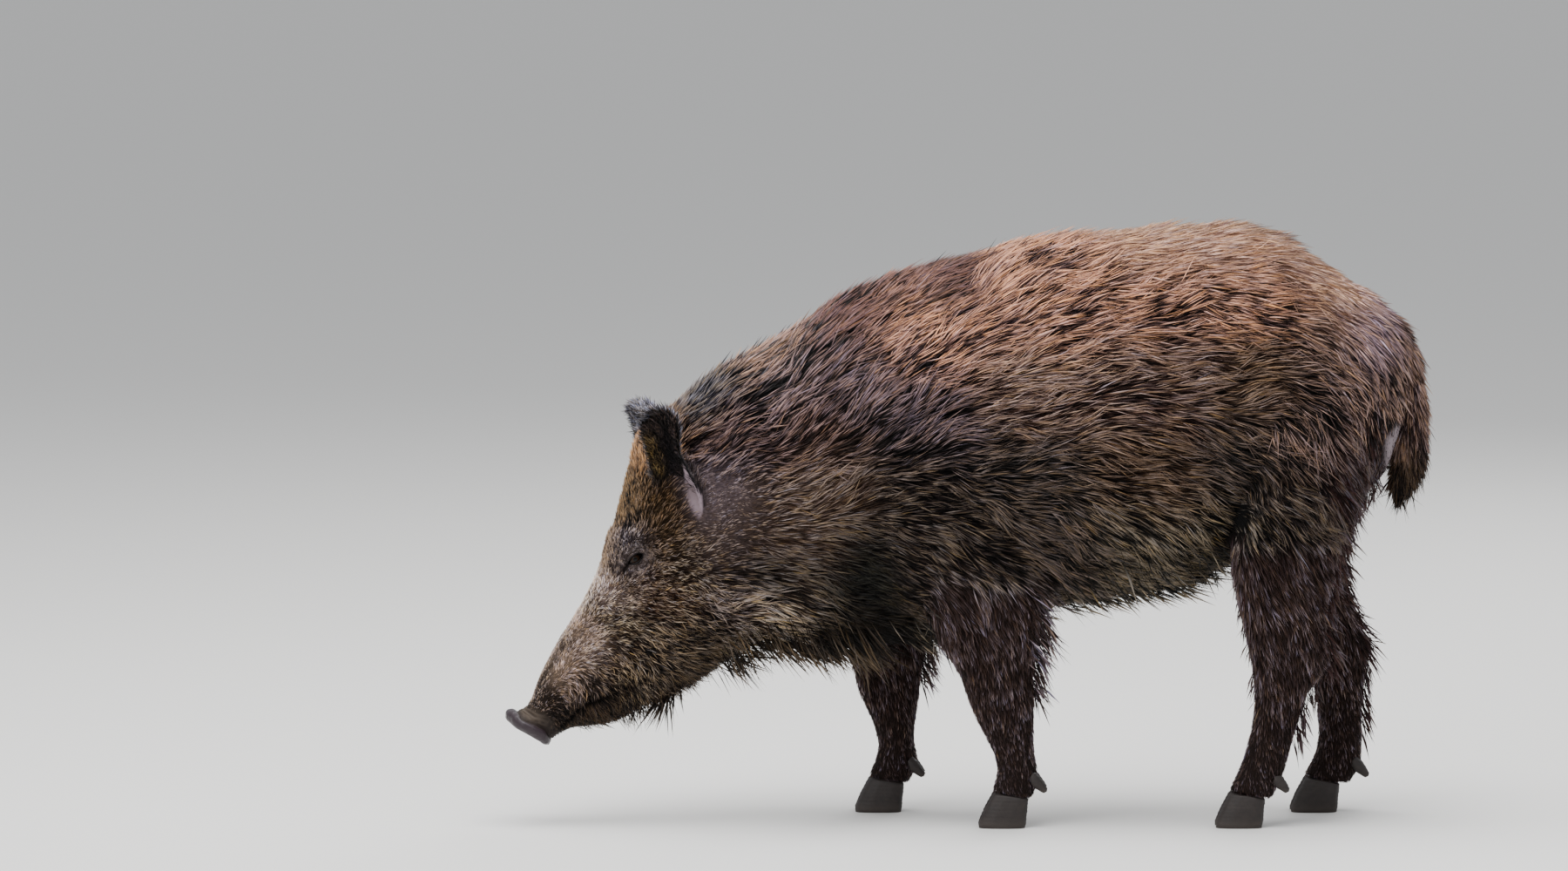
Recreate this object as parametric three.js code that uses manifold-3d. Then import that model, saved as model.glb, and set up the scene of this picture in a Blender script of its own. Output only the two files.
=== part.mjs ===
// A wild boar sow, life size, standing with her head lowered to sniff the ground. Millimetres, +Z up.
// She looks along -X, so her left side is at -Y. Every outline is that of the coat, out to the tips of the hair.
// Flesh is lofted whole and then parted by thin cuts; eyes, hooves and dewclaws are pieces of their own.
import * as THREE from "three";
import { mergeVertices } from "three/addons/utils/BufferGeometryUtils.js";
import Module from "manifold-3d";

const wasm = await Module();
wasm.setup();

// ---- Driving dimensions -------------------------------------------------------------------------------------

const GAP = 0.3; // clear space between neighbouring pieces
const HEAD_LENGTH = 426; // from the poll to the front of the snout disc
const HEAD_PITCH = THREE.MathUtils.degToRad(65); // how far the face points below the horizon
const POLL = new THREE.Vector3(-380, 0, 508); // where the skull meets the neck
const HEAD_TURN = THREE.MathUtils.degToRad(6); // the head is turned this much to her left
const TURN_FROM = -130; // the neck starts to turn at this x ...
const TURN_TO = -330; // ... and has its full turn from here on

const EYE_RADIUS = 12.5;
const SNOUT_HALF_WIDTH = 37;
const SNOUT_HALF_HEIGHT = 34;
const SNOUT_THICKNESS = 12;
const SNOUT_RISE = 4; // how far its middle lies above the line from the poll
const SNOUT_LEAN = 0.12; // the disc faces this much above the line of the face
const NOSTRIL_RADIUS = 7;
const EAR_LENGTH = 148;
const EAR_THICKNESS = 9;
const HOOF_HEIGHT = 42;
const HOOF_LENGTH = 64;
const HOOF_HALF_WIDTH = 12.6;
const CLEFT = 1.2; // half the space between the two claws of a foot
const CORONET_SLOPE = -0.16; // rise of a hoof's upper edge for each millimetre backwards
const DEWCLAW_LENGTH = 32;
const DEWCLAW_LEVEL = 68; // where its axis starts, inside the pastern
const DEWCLAW_SPREAD = 15; // sideways from the middle of the foot
const DEWCLAW_TILT = 0.8; // backwards from straight down

const BODY_SIDES = 28; // corners of a body section
const LEG_SIDES = 12;
const TAIL_SIDES = 10;
const HOOF_SIDES = 10;
const DEWCLAW_SIDES = 8;

// ---- Solids, cuts and lofts ---------------------------------------------------------------------------------

function toSolid(geometry) {
  const bare = geometry.clone();
  bare.deleteAttribute("normal");
  bare.deleteAttribute("uv");
  const merged = mergeVertices(bare, 1e-3);
  return new wasm.Manifold(
    new wasm.Mesh({
      numProp: 3,
      vertProperties: merged.attributes.position.array,
      triVerts: new Uint32Array(merged.index.array),
    }),
  );
}

function toGeometry(solid) {
  const { numVert, numProp, vertProperties, triVerts } = solid.getMesh();
  const corners = new Float32Array(numVert * 3);
  for (let i = 0; i < numVert; i++)
    corners.set(vertProperties.subarray(i * numProp, i * numProp + 3), i * 3);
  const geometry = new THREE.BufferGeometry();
  geometry.setAttribute("position", new THREE.BufferAttribute(corners, 3));
  geometry.setIndex(new THREE.BufferAttribute(triVerts, 1));
  geometry.computeVertexNormals();
  return geometry;
}

// The piece with the most volume, because a cut may leave crumbs beside it.
function largest(solid) {
  return solid.decompose().reduce((a, b) => (a.volume() > b.volume() ? a : b));
}

// Everything on the side of a plane that its direction points to, less half the gap.
function beyond(point, direction) {
  const size = 3000;
  const box = new THREE.BoxGeometry(size, size, size);
  box.translate(0, 0, size / 2 + GAP / 2);
  const up = new THREE.Vector3(0, 0, 1);
  box.applyQuaternion(new THREE.Quaternion().setFromUnitVectors(up, direction.clone().normalize()));
  box.translate(point.x, point.y, point.z);
  return toSolid(box);
}

// A solid parted by a plane: what lies beyond it, and what lies before it.
function part(solid, point, direction) {
  const back = direction.clone().negate();
  return [solid.intersect(beyond(point, direction)), solid.intersect(beyond(point, back))];
}

// Rows of numbers with smooth ones put in between, as a Catmull-Rom spline through each column.
function smoothed(rows, steps) {
  const at = (i) => rows[THREE.MathUtils.clamp(i, 0, rows.length - 1)];
  const made = [];
  for (let i = 0; i < rows.length - 1; i++)
    for (let s = 0; s < steps; s++) {
      const t = s / steps;
      made.push(
        rows[i].map((b, k) => {
          const [a, c, d] = [at(i - 1)[k], at(i + 1)[k], at(i + 2)[k]];
          const slope = (c - a) * t + (2 * a - 5 * b + 4 * c - d) * t * t;
          return b + 0.5 * (slope + (3 * b - a - 3 * c + d) * t * t * t);
        }),
      );
    }
  made.push(rows.at(-1));
  return made;
}

// A closed skin over rings of points, each ring with as many points as the next.
function loft(rings) {
  const sides = rings[0].length;
  const points = rings.flat();
  const faces = [];
  for (let r = 0; r < rings.length - 1; r++)
    for (let s = 0; s < sides; s++) {
      const a = r * sides + s;
      const b = r * sides + ((s + 1) % sides);
      faces.push(a, b, a + sides, b, b + sides, a + sides);
    }
  for (const [ring, start] of [[rings[0], 0], [rings.at(-1), (rings.length - 1) * sides]]) {
    const middle = new THREE.Vector3();
    ring.forEach((p) => middle.addScaledVector(p, 1 / sides));
    const hub = points.push(middle) - 1;
    for (let s = 0; s < sides; s++) {
      const [a, b] = [start + s, start + ((s + 1) % sides)];
      faces.push(...(start === 0 ? [hub, b, a] : [hub, a, b]));
    }
  }
  const geometry = new THREE.BufferGeometry().setFromPoints(points);
  geometry.setIndex(faces);
  const solid = toSolid(geometry);
  if (solid.volume() > 0) return solid;
  for (let i = 0; i < faces.length; i += 3) [faces[i], faces[i + 1]] = [faces[i + 1], faces[i]];
  geometry.setIndex(faces);
  return toSolid(geometry);
}

function superellipse(angle, power) {
  const bend = (v) => Math.sign(v) * Math.abs(v) ** (2 / power);
  return [bend(Math.cos(angle)), bend(Math.sin(angle))];
}

// ---- The turned head and neck -------------------------------------------------------------------------------

// A point of the head: along runs from the poll to the nose, above is towards the brow.
function onHead(along, above, y = 0) {
  const [c, s] = [Math.cos(HEAD_PITCH), Math.sin(HEAD_PITCH)];
  return new THREE.Vector3(POLL.x - along * c - above * s, y, POLL.z - along * s + above * c);
}

// The same solid point with the neck's turn to the left: nothing moves behind the neck.
function turned(point) {
  const share = THREE.MathUtils.smoothstep(-point.x, -TURN_FROM, -TURN_TO);
  const pivot = new THREE.Vector3(TURN_FROM, 0, 0);
  const up = new THREE.Vector3(0, 0, 1);
  return point.clone().sub(pivot).applyAxisAngle(up, HEAD_TURN * share).add(pivot);
}

// ---- Head, neck and trunk -----------------------------------------------------------------------------------

// Sections of the head, from the snout back: along and above for the top, the same for the bottom,
// half width, level of the widest point (0 top, 1 bottom), roundness of the upper and of the lower half.
const HEAD_ROWS = [
  [424, 24, 426, -30, 30, 0.5, 2.2, 2.2],
  [399, 17, 407, -37, 32, 0.48, 2.4, 2.2],
  [384, 18, 401, -48, 35, 0.46, 2.4, 2.1],
  [355, 20, 389, -70, 39, 0.44, 2.5, 2.0],
  [323, 18, 371, -92, 43, 0.42, 2.5, 1.9],
  [278, 13, 348, -110, 48, 0.42, 2.4, 1.9],
  [232, 9.5, 322, -130, 56, 0.42, 2.3, 1.9],
  [186, 11, 298, -149, 68, 0.42, 2.4, 1.9],
  [143, 17, 274, -166, 80, 0.42, 2.4, 2.0],
  [105, 22, 251, -181, 86, 0.43, 2.3, 2.0],
  [62, 32, 229, -197, 88, 0.44, 2.2, 2.0],
  [25, 36, 205, -217, 92, 0.46, 2.1, 2.0],
];

// Sections of the neck and trunk: x and z of the top, x and z of the bottom, then as above.
const TRUNK_ROWS = [
  [-383, 538, -238, 229, 98, 0.5, 2.0, 2.0],
  [-337, 575, -212, 227, 104, 0.52, 1.9, 2.0],
  [-288, 601, -184, 226, 112, 0.53, 1.8, 2.0],
  [-232, 630, -152, 226, 124, 0.54, 1.8, 2.0],
  [-176, 668, -110, 228, 137, 0.55, 1.8, 2.1],
  [-120, 694, -62, 232, 147, 0.56, 1.8, 2.2],
  [-64, 713, -12, 238, 153, 0.56, 1.8, 2.2],
  [-8, 728, 38, 250, 156, 0.56, 1.8, 2.2],
  [48, 743, 84, 266, 158, 0.56, 1.9, 2.2],
  [104, 753, 127, 279, 160, 0.56, 1.9, 2.2],
  [160, 758, 171, 287, 160, 0.56, 2.0, 2.2],
  [216, 763, 215, 293, 158, 0.55, 2.0, 2.2],
  [272, 767, 262, 300, 153, 0.54, 2.0, 2.2],
  [328, 769, 312, 322, 147, 0.53, 2.0, 2.1],
  [382, 761, 362, 342, 143, 0.52, 2.0, 2.0],
  [424, 738, 406, 352, 139, 0.52, 2.0, 2.0],
  [462, 714, 446, 362, 131, 0.52, 2.0, 2.0],
  [501, 692, 482, 384, 117, 0.52, 2.0, 2.0],
  [533, 666, 512, 416, 96, 0.52, 2.0, 2.0],
  [552, 632, 533, 456, 68, 0.52, 2.0, 2.0],
  [559, 594, 549, 508, 32, 0.52, 2.0, 2.0],
];

// Places where muscle, fat or bone lifts the coat, or where it sinks: the centre on the left side,
// how far it reaches along x and z, and its height. Each is mirrored on the right side.
const MASSES = [
  { name: "shoulder blade", at: [-30, 545], reach: [95, 120], height: 8 },
  { name: "behind the shoulder", at: [95, 430], reach: [45, 150], height: -7 },
  { name: "ribs", at: [190, 470], reach: [110, 110], height: 5 },
  { name: "flank", at: [320, 520], reach: [50, 120], height: -9 },
  { name: "hip", at: [400, 655], reach: [60, 55], height: 6 },
  { name: "ham", at: [440, 520], reach: [75, 90], height: 9 },
  { name: "side of the neck", at: [-255, 440], reach: [70, 70], height: 8 },
  { name: "hollow behind the ear", at: [-322, 425], reach: [32, 46], height: -9 },
];

function bodyRows() {
  const head = HEAD_ROWS.map(([ta, tv, ba, bv, ...rest]) => {
    const [top, bottom] = [onHead(ta, tv), onHead(ba, bv)];
    return [top.x, top.z, bottom.x, bottom.z, ...rest];
  });
  return [...smoothed([...head, TRUNK_ROWS[0]], 2), ...TRUNK_ROWS.slice(1)];
}

function bodySection([topX, topZ, bottomX, bottomZ, halfWidth, widest, roundTop, roundBottom], grow) {
  const top = new THREE.Vector3(topX, 0, topZ);
  const down = new THREE.Vector3(bottomX, 0, bottomZ).sub(top);
  const height = down.length() + 2 * grow;
  down.normalize();
  top.addScaledVector(down, -grow);
  const ring = [];
  for (let i = 0; i < BODY_SIDES; i++) {
    const angle = (i / BODY_SIDES) * 2 * Math.PI;
    const upper = Math.cos(angle) >= 0;
    const [rise, out] = superellipse(angle, upper ? roundTop : roundBottom);
    const level = upper ? widest * (1 - rise) : widest - (1 - widest) * rise;
    const point = top.clone().addScaledVector(down, level * height);
    point.y = out * (halfWidth + grow);
    for (const { at, reach, height: lift } of MASSES) {
      const away = ((point.x - at[0]) / reach[0]) ** 2 + ((point.z - at[1]) / reach[1]) ** 2;
      point.y += Math.sign(out) * Math.abs(out) * lift * Math.exp(-away);
    }
    ring.push(turned(point));
  }
  return ring;
}

const bodySolid = (grow = 0) => loft(bodyRows().map((row) => bodySection(row, grow)));

// ---- Legs ---------------------------------------------------------------------------------------------------

// Level sections down each leg: z, x of the front edge, x of the rear edge, half width, distance from the
// midline. The lowest row is the coronet, where the hooves begin. The first two rows are the rounded top, inside
// the shoulder or the ham. The cuts are the levels of its divisions: under the trunk, at the carpus or hock, and
// at the fetlock.
const LEGS = [
  {
    name: "fore_left",
    side: -1,
    rows: [
      [400, -62, 66, 34, 92],
      [372, -76, 82, 44, 94],
      [335, -76, 93, 47, 94],
      [285, -60, 98, 45, 91],
      [262, -51, 96, 43, 90],
      [240, -40, 93, 41, 90],
      [200, -14, 86, 35, 89],
      [172, -3, 86, 32, 88],
      [145, 8, 86, 31, 87],
      [117, 22, 85, 28, 85],
      [95, 33, 86, 26, 84],
      [76, 38, 90, 26, 83],
      [58, 35, 90, 26, 82],
      [HOOF_HEIGHT, 31, 84, 26, 81],
    ],
    cuts: [322, 132, 84],
    toe: 13,
  },
  {
    name: "fore_right",
    side: 1,
    rows: [
      [400, -176, -50, 34, 92],
      [372, -188, -38, 44, 94],
      [335, -188, -34, 47, 94],
      [280, -168, -36, 45, 91],
      [252, -157, -40, 43, 90],
      [226, -150, -46, 41, 89],
      [182, -146, -55, 35, 88],
      [153, -138, -58, 32, 87],
      [126, -125, -62, 31, 86],
      [99, -115, -66, 27, 85],
      [82, -113, -63, 26, 84],
      [68, -116, -61, 26, 83],
      [56, -121, -64, 26, 82],
      [HOOF_HEIGHT, -126, -72, 26, 81],
    ],
    cuts: [322, 140, 84],
    toe: -144,
  },
  {
    name: "hind_left",
    side: -1,
    rows: [
      [476, 366, 478, 32, 72],
      [456, 340, 496, 48, 76],
      [428, 326, 503, 57, 79],
      [393, 324, 490, 60, 82],
      [342, 332, 476, 54, 86],
      [290, 343, 463, 46, 89],
      [252, 352, 462, 39, 90],
      [222, 359, 467, 33, 89],
      [196, 364, 452, 30, 88],
      [171, 366, 436, 28, 87],
      [146, 365, 427, 27, 86],
      [118, 361, 419, 26, 84],
      [92, 354, 412, 25, 83],
      [74, 347, 407, 26, 82],
      [57, 340, 400, 26, 81],
      [HOOF_HEIGHT, 334, 391, 26, 80],
    ],
    cuts: [372, 180, 84],
    toe: 316,
  },
  {
    name: "hind_right",
    side: 1,
    rows: [
      [476, 376, 486, 32, 72],
      [456, 352, 502, 48, 76],
      [428, 342, 510, 57, 79],
      [393, 348, 505, 60, 82],
      [342, 366, 496, 54, 86],
      [290, 392, 498, 46, 89],
      [252, 418, 510, 39, 90],
      [218, 437, 527, 33, 89],
      [192, 446, 523, 30, 88],
      [163, 452, 519, 28, 87],
      [135, 456, 517, 27, 86],
      [108, 458, 516, 26, 84],
      [86, 457, 516, 25, 83],
      [70, 452, 516, 26, 82],
      [56, 445, 512, 26, 81],
      [HOOF_HEIGHT, 438, 500, 26, 80],
    ],
    cuts: [372, 176, 80],
    toe: 421,
  },
];

// A column of level sections. Each may slope towards its rear, as a coronet does.
function column(rows, side, sides, power, grow = 0, slopes = rows.map(() => 0)) {
  return loft(
    rows.map(([z, front, rear, halfWidth, y], r) => {
      const middle = (front + rear) / 2;
      const reach = (rear - front) / 2 + grow;
      return Array.from({ length: sides }, (_, i) => {
        const [along, out] = superellipse((i / sides) * 2 * Math.PI, power);
        const [dx, dy] = [along * reach, out * (halfWidth + grow)];
        return new THREE.Vector3(middle + dx, side * y + dy, z + slopes[r] * dx);
      });
    }),
  );
}

function legSolid({ rows, side }, grow = 0) {
  const slopes = rows.map((_, r) => (r === rows.length - 1 ? CORONET_SLOPE : 0));
  return column(rows, side, LEG_SIDES, 2.2, grow, slopes);
}

// One claw of a foot, from its flat sole up to the sloping coronet. The toe is rounded and a little drawn out.
function clawSolid({ toe, rows, side }, inner) {
  const [z, , , , footY] = rows.at(-1);
  const y = footY + (inner ? -1 : 1) * (CLEFT + HOOF_HALF_WIDTH);
  const heel = toe + HOOF_LENGTH;
  const outline = [
    [0, toe + 2, heel - 4, HOOF_HALF_WIDTH - 1.5, y],
    [4, toe, heel - 1, HOOF_HALF_WIDTH, y],
    [z * 0.5, toe + 8, heel, HOOF_HALF_WIDTH, y],
    [z - GAP, toe + 20, heel + 2, HOOF_HALF_WIDTH - 1, y],
  ];
  return column(outline, side, HOOF_SIDES, 2.3, 0, [0, 0, CORONET_SLOPE / 2, CORONET_SLOPE]);
}

// A dewclaw: a blunt cone that points down and back from behind the fetlock.
function dewclawSolid(leg, inner) {
  const [, , rear, , footY] = leg.rows.at(-2);
  const outline = [[0, 0], [9, 0], [9, 10], [5, DEWCLAW_LENGTH - 3], [0, DEWCLAW_LENGTH]];
  const cone = new THREE.LatheGeometry(outline.map(([r, h]) => new THREE.Vector2(r, h)), DEWCLAW_SIDES);
  cone.rotateX(-Math.PI / 2); // its axis now runs down, along -Z
  cone.rotateY(-DEWCLAW_TILT);
  cone.translate(rear - 11, leg.side * (footY + (inner ? -1 : 1) * DEWCLAW_SPREAD), DEWCLAW_LEVEL);
  return toSolid(cone).subtract(legSolid(leg, GAP));
}

// ---- Ears, eyes, snout and tail -----------------------------------------------------------------------------

// An ear: a cupped leaf that opens outwards and a little forwards.
const EAR_BASE = [85, -55, 72]; // along, above and sideways on the head
const EAR_LEAN = { along: -0.743, above: 0.67, out: 0.24 };
const EAR_FACING = { along: 0.26, above: 0.34, out: 1 };
const EAR_STEPS = 6; // points across the leaf, on each of its two faces
const EAR_OUTLINE = [
  [0, 24, 22],
  [0.12, 30, 21],
  [0.28, 34, 19],
  [0.45, 34, 16],
  [0.6, 31, 13],
  [0.75, 26, 10],
  [0.87, 18, 7],
  [0.96, 10, 5],
  [1, 4, 4],
]; // share of the length, half width, depth of the cup

// A direction given in the head's own terms.
function headDirection({ along, above, out }, side) {
  return onHead(along, above).sub(onHead(0, 0)).add(new THREE.Vector3(0, side * out, 0)).normalize();
}

function earSolid(side) {
  const base = onHead(EAR_BASE[0], EAR_BASE[1], side * EAR_BASE[2]);
  const axis = headDirection(EAR_LEAN, side);
  const facing = headDirection(EAR_FACING, side);
  facing.addScaledVector(axis, -facing.dot(axis)).normalize();
  const across = new THREE.Vector3().crossVectors(axis, facing);
  const rings = EAR_OUTLINE.map(([share, halfWidth, cup]) => {
    const middle = base.clone().addScaledVector(axis, share * EAR_LENGTH);
    const wall = (t, face) => {
      const depth = cup * (t * t - 0.5) + face * EAR_THICKNESS * (0.5 - 0.3 * t * t);
      return turned(middle.clone().addScaledVector(across, halfWidth * t).addScaledVector(facing, depth));
    };
    const places = Array.from({ length: EAR_STEPS }, (_, i) => -1 + (2 * i) / (EAR_STEPS - 1));
    return [...places.map((t) => wall(t, 1)), ...places.reverse().map((t) => wall(t, -1))];
  });
  return loft(rings);
}

const EYE_PLACE = [170, -21, 49]; // along, above and sideways on the head: the eyeball's centre
const EYE_SLANT = 0.15; // the lids slant this much from the line of the face

function placed(geometry, along, above, y) {
  const at = turned(onHead(along, above, y));
  return toSolid(geometry.translate(at.x, at.y, at.z));
}

function eyeSolid(side, grow = 0) {
  const ball = new THREE.SphereGeometry(EYE_RADIUS + grow, 12, 7);
  return placed(ball, EYE_PLACE[0], EYE_PLACE[1], side * EYE_PLACE[2]);
}

// The opening of the lids and the hair round it: a slanting oval hollow down to the eyeball.
function eyeOpening(side) {
  const oval = new THREE.SphereGeometry(1, 12, 7);
  oval.scale(17, 9, 12);
  oval.rotateY(EYE_SLANT - HEAD_PITCH);
  return placed(oval, EYE_PLACE[0], EYE_PLACE[1], side * (EYE_PLACE[2] + EYE_RADIUS + 2));
}

// Where the disc's back meets the muzzle, and the way that it faces.
function snoutPlane() {
  const back = onHead(HEAD_LENGTH - SNOUT_THICKNESS, SNOUT_RISE);
  const front = onHead(HEAD_LENGTH - SNOUT_THICKNESS + Math.cos(SNOUT_LEAN), SNOUT_RISE + Math.sin(SNOUT_LEAN));
  return [turned(back), turned(front).sub(turned(back))];
}

// The snout's disc: a bevelled oval plate with two nostrils.
function snoutDisc() {
  const oval = new THREE.Shape().absellipse(0, 0, SNOUT_HALF_HEIGHT - 3, SNOUT_HALF_WIDTH - 3, 0, 2 * Math.PI);
  for (const y of [-13, 13]) {
    const nostril = new THREE.Path().absellipse(2, y, NOSTRIL_RADIUS * 1.25, NOSTRIL_RADIUS, 0, 2 * Math.PI);
    oval.holes.push(nostril);
  }
  const plate = new THREE.ExtrudeGeometry(oval, {
    depth: SNOUT_THICKNESS - 6,
    bevelSize: 3,
    bevelThickness: 3,
    bevelSegments: 1,
    curveSegments: 8,
  });
  plate.translate(0, 0, 3);
  plate.rotateY(SNOUT_LEAN);
  // The plate's x becomes the way up the face, and its z the way to the nose.
  const origin = onHead(0, 0);
  const basis = new THREE.Matrix4().makeBasis(
    onHead(0, 1).sub(origin),
    new THREE.Vector3(0, 1, 0),
    onHead(1, 0).sub(origin),
  );
  plate.applyMatrix4(basis);
  const at = onHead(HEAD_LENGTH - SNOUT_THICKNESS, SNOUT_RISE);
  plate.translate(at.x, at.y, at.z);
  const points = plate.attributes.position;
  const corner = new THREE.Vector3();
  for (let i = 0; i < points.count; i++) {
    corner.copy(turned(corner.fromBufferAttribute(points, i)));
    points.setXYZ(i, corner.x, corner.y, corner.z);
  }
  return toSolid(plate);
}

// The tail hangs behind the rump and ends in a tuft: x and z of its middle, half thickness, half width.
const TAIL_ROWS = [
  [530, 655, 12, 14],
  [550, 632, 14, 16],
  [562, 606, 15, 17],
  [569, 575, 15, 17],
  [574, 540, 15, 17],
  [577, 505, 15, 17],
  [576, 470, 16, 18],
  [571, 442, 13, 15],
  [566, 418, 5, 6],
];

function tailSolid() {
  const rings = TAIL_ROWS.map(([x, z, thick, wide], r) => {
    const [before, after] = [TAIL_ROWS[Math.max(r - 1, 0)], TAIL_ROWS[Math.min(r + 1, TAIL_ROWS.length - 1)]];
    const along = new THREE.Vector2(after[0] - before[0], after[1] - before[1]).normalize();
    return Array.from({ length: TAIL_SIDES }, (_, i) => {
      const angle = (i / TAIL_SIDES) * 2 * Math.PI;
      const back = Math.cos(angle) * thick;
      return new THREE.Vector3(x - back * along.y, Math.sin(angle) * wide, z + back * along.x);
    });
  });
  return loft(rings);
}

// ---- The pieces ---------------------------------------------------------------------------------------------

const skinTone = (color, roughness = 0.85) => new THREE.MeshStandardMaterial({ color, roughness, metalness: 0 });
const MATERIALS = {
  coat: skinTone(0x5a4638),
  face: skinTone(0x66554a),
  leg: skinTone(0x30272a),
  ear: skinTone(0x3a2e2b),
  snout: skinTone(0x6b5656, 0.55),
  eye: skinTone(0x1b1210, 0.15),
  hoof: skinTone(0x241f20, 0.5),
};

const boar = new THREE.Group();

function add(name, solid, material) {
  const mesh = new THREE.Mesh(toGeometry(largest(solid)), MATERIALS[material]);
  mesh.name = name;
  boar.add(mesh);
}

const whole = bodySolid();
const wholeGrown = bodySolid(GAP);
let body = whole;

// Each leg keeps its column below the first cut; above it the column joins the trunk as shoulder or ham.
for (const leg of LEGS) {
  const down = new THREE.Vector3(0, 0, -1);
  const [underTrunk, atJoint, atFetlock] = leg.cuts.map((z) => new THREE.Vector3(0, 0, z));
  const [lower, upper] = part(legSolid(leg), underTrunk, down);
  body = body.add(upper).subtract(legSolid(leg, GAP).intersect(beyond(underTrunk, down)));
  const [shank, thick] = part(lower, atJoint, down);
  const [foot, cannon] = part(shank, atFetlock, down);
  add(`${leg.name}_${leg.name.startsWith("fore") ? "forearm" : "thigh"}`, thick, "leg");
  add(`${leg.name}_cannon`, cannon, "leg");
  add(`${leg.name}_foot`, foot, "leg");
  for (const inner of [true, false]) {
    const place = inner ? "inner" : "outer";
    add(`${leg.name}_hoof_${place}`, clawSolid(leg, inner), "hoof");
    add(`${leg.name}_dewclaw_${place}`, dewclawSolid(leg, inner), "hoof");
  }
}

add("tail", tailSolid().subtract(wholeGrown), "coat");

for (const [name, side] of [["left", -1], ["right", 1]]) {
  add(`ear_${name}`, earSolid(side).subtract(wholeGrown), "ear");
  add(`eye_${name}`, eyeSolid(side), "eye");
  body = body.subtract(eyeSolid(side, GAP)).subtract(eyeOpening(side));
}

add("snout_disc", snoutDisc(), "snout");
const [discBack, discForward] = snoutPlane();
body = part(body, discBack, discForward)[1];

// The neck ends before the shoulders and the head behind the ears, square to its own line there.
const [beforeTrunk, trunk] = part(body, new THREE.Vector3(-165, 0, 450), new THREE.Vector3(-1, 0, 0.22));
const [pollTop, pollBottom] = [turned(onHead(30, 30)), turned(onHead(208, -214))];
const left = headDirection({ along: 0, above: 0, out: 1 }, -1);
const [headAndJaw, neck] = part(beforeTrunk, pollTop, pollBottom.clone().sub(pollTop).cross(left));

// The mouth's line goes on back under the cheek to the throat, and parts the lower jaw from the head.
const lip = turned(onHead(HEAD_LENGTH, -28));
const mouthCorner = turned(onHead(240, -80));
const [jaw, skull] = part(headAndJaw, lip, mouthCorner.clone().sub(lip).cross(left));
add("head", skull, "face");
add("lower_jaw", jaw, "face");
add("neck", neck, "coat");
add("trunk", trunk, "coat");

// The origin is the middle of the footprint of the whole animal, on the ground.
const bounds = new THREE.Box3().setFromObject(boar);
boar.position.set(-(bounds.min.x + bounds.max.x) / 2, -(bounds.min.y + bounds.max.y) / 2, -bounds.min.z);

export default boar;
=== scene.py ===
import math
import bmesh
import bpy
import numpy as np
from mathutils import Matrix, Vector
from mathutils.bvhtree import BVHTree
from mathutils.kdtree import KDTree


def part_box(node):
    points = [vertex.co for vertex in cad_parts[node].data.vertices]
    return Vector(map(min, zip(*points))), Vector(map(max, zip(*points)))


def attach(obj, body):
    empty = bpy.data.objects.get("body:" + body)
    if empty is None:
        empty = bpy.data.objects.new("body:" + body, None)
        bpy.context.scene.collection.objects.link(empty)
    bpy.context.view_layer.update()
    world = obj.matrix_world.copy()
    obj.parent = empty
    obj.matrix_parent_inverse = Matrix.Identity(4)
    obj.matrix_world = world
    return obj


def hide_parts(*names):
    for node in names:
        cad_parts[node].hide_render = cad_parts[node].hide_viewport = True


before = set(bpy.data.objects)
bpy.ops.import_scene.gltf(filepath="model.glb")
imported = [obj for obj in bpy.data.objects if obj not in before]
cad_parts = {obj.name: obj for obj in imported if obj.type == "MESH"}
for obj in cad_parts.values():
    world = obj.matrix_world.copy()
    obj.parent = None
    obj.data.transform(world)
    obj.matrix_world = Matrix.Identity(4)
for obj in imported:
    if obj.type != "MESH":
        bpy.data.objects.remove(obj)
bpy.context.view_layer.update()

# ---- Viewpoint -----------------------------------------------------------------------------------
# The boar is seen from its left through a long lens, from a standing person's height a dozen metres away,
# with more room in front of the snout than behind the tail.

VIEW_DISTANCE = 12.0
VIEW_WIDTH = 2.016  # metres across the view at the boar
VIEW_RISE = math.radians(5.0)
AHEAD_OF_MIDDLE = 0.236  # the view's middle lies this far in front of the footprint's
LOOK_HEIGHT = 0.496


def placed(name, data):
    """A new object in the scene."""
    made = bpy.data.objects.new(name, data)
    bpy.context.collection.objects.link(made)
    return made


camera = placed("camera", bpy.data.cameras.new("camera"))
camera.data.lens = camera.data.sensor_width * VIEW_DISTANCE / VIEW_WIDTH
camera.data.clip_end = 60
camera.location = (
    -AHEAD_OF_MIDDLE,
    -VIEW_DISTANCE * math.cos(VIEW_RISE),
    LOOK_HEIGHT + VIEW_DISTANCE * math.sin(VIEW_RISE),
)
camera.rotation_euler = (math.pi / 2 - VIEW_RISE, 0, 0)
bpy.context.scene.camera = camera

# ---- Floor and studio light ----------------------------------------------------------------------
# A pale matt floor without an edge in sight, and the even light of a bright overcast day: a wide soft box
# overhead, a weaker one from the viewer's left, one from behind, and a pale surround.

FLOOR_SIDE = 60.0
FLOOR_COLOUR = (0.72, 0.71, 0.69)
SURROUND = (0.82, 0.84, 0.87)
SURROUND_STRENGTH = 0.8
SOFT_BOXES = {  # place, size and power in watts
    "overhead": ((-0.3, -0.4, 4.0), 3.6, 310),
    "viewers_left": ((-3.0, -4.2, 2.8), 3.2, 130),
    "behind": ((1.6, 3.8, 3.0), 2.2, 80),
}
LIT_PLACE = Vector((0, 0, 0.4))  # the soft boxes point at the middle of the trunk


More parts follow.
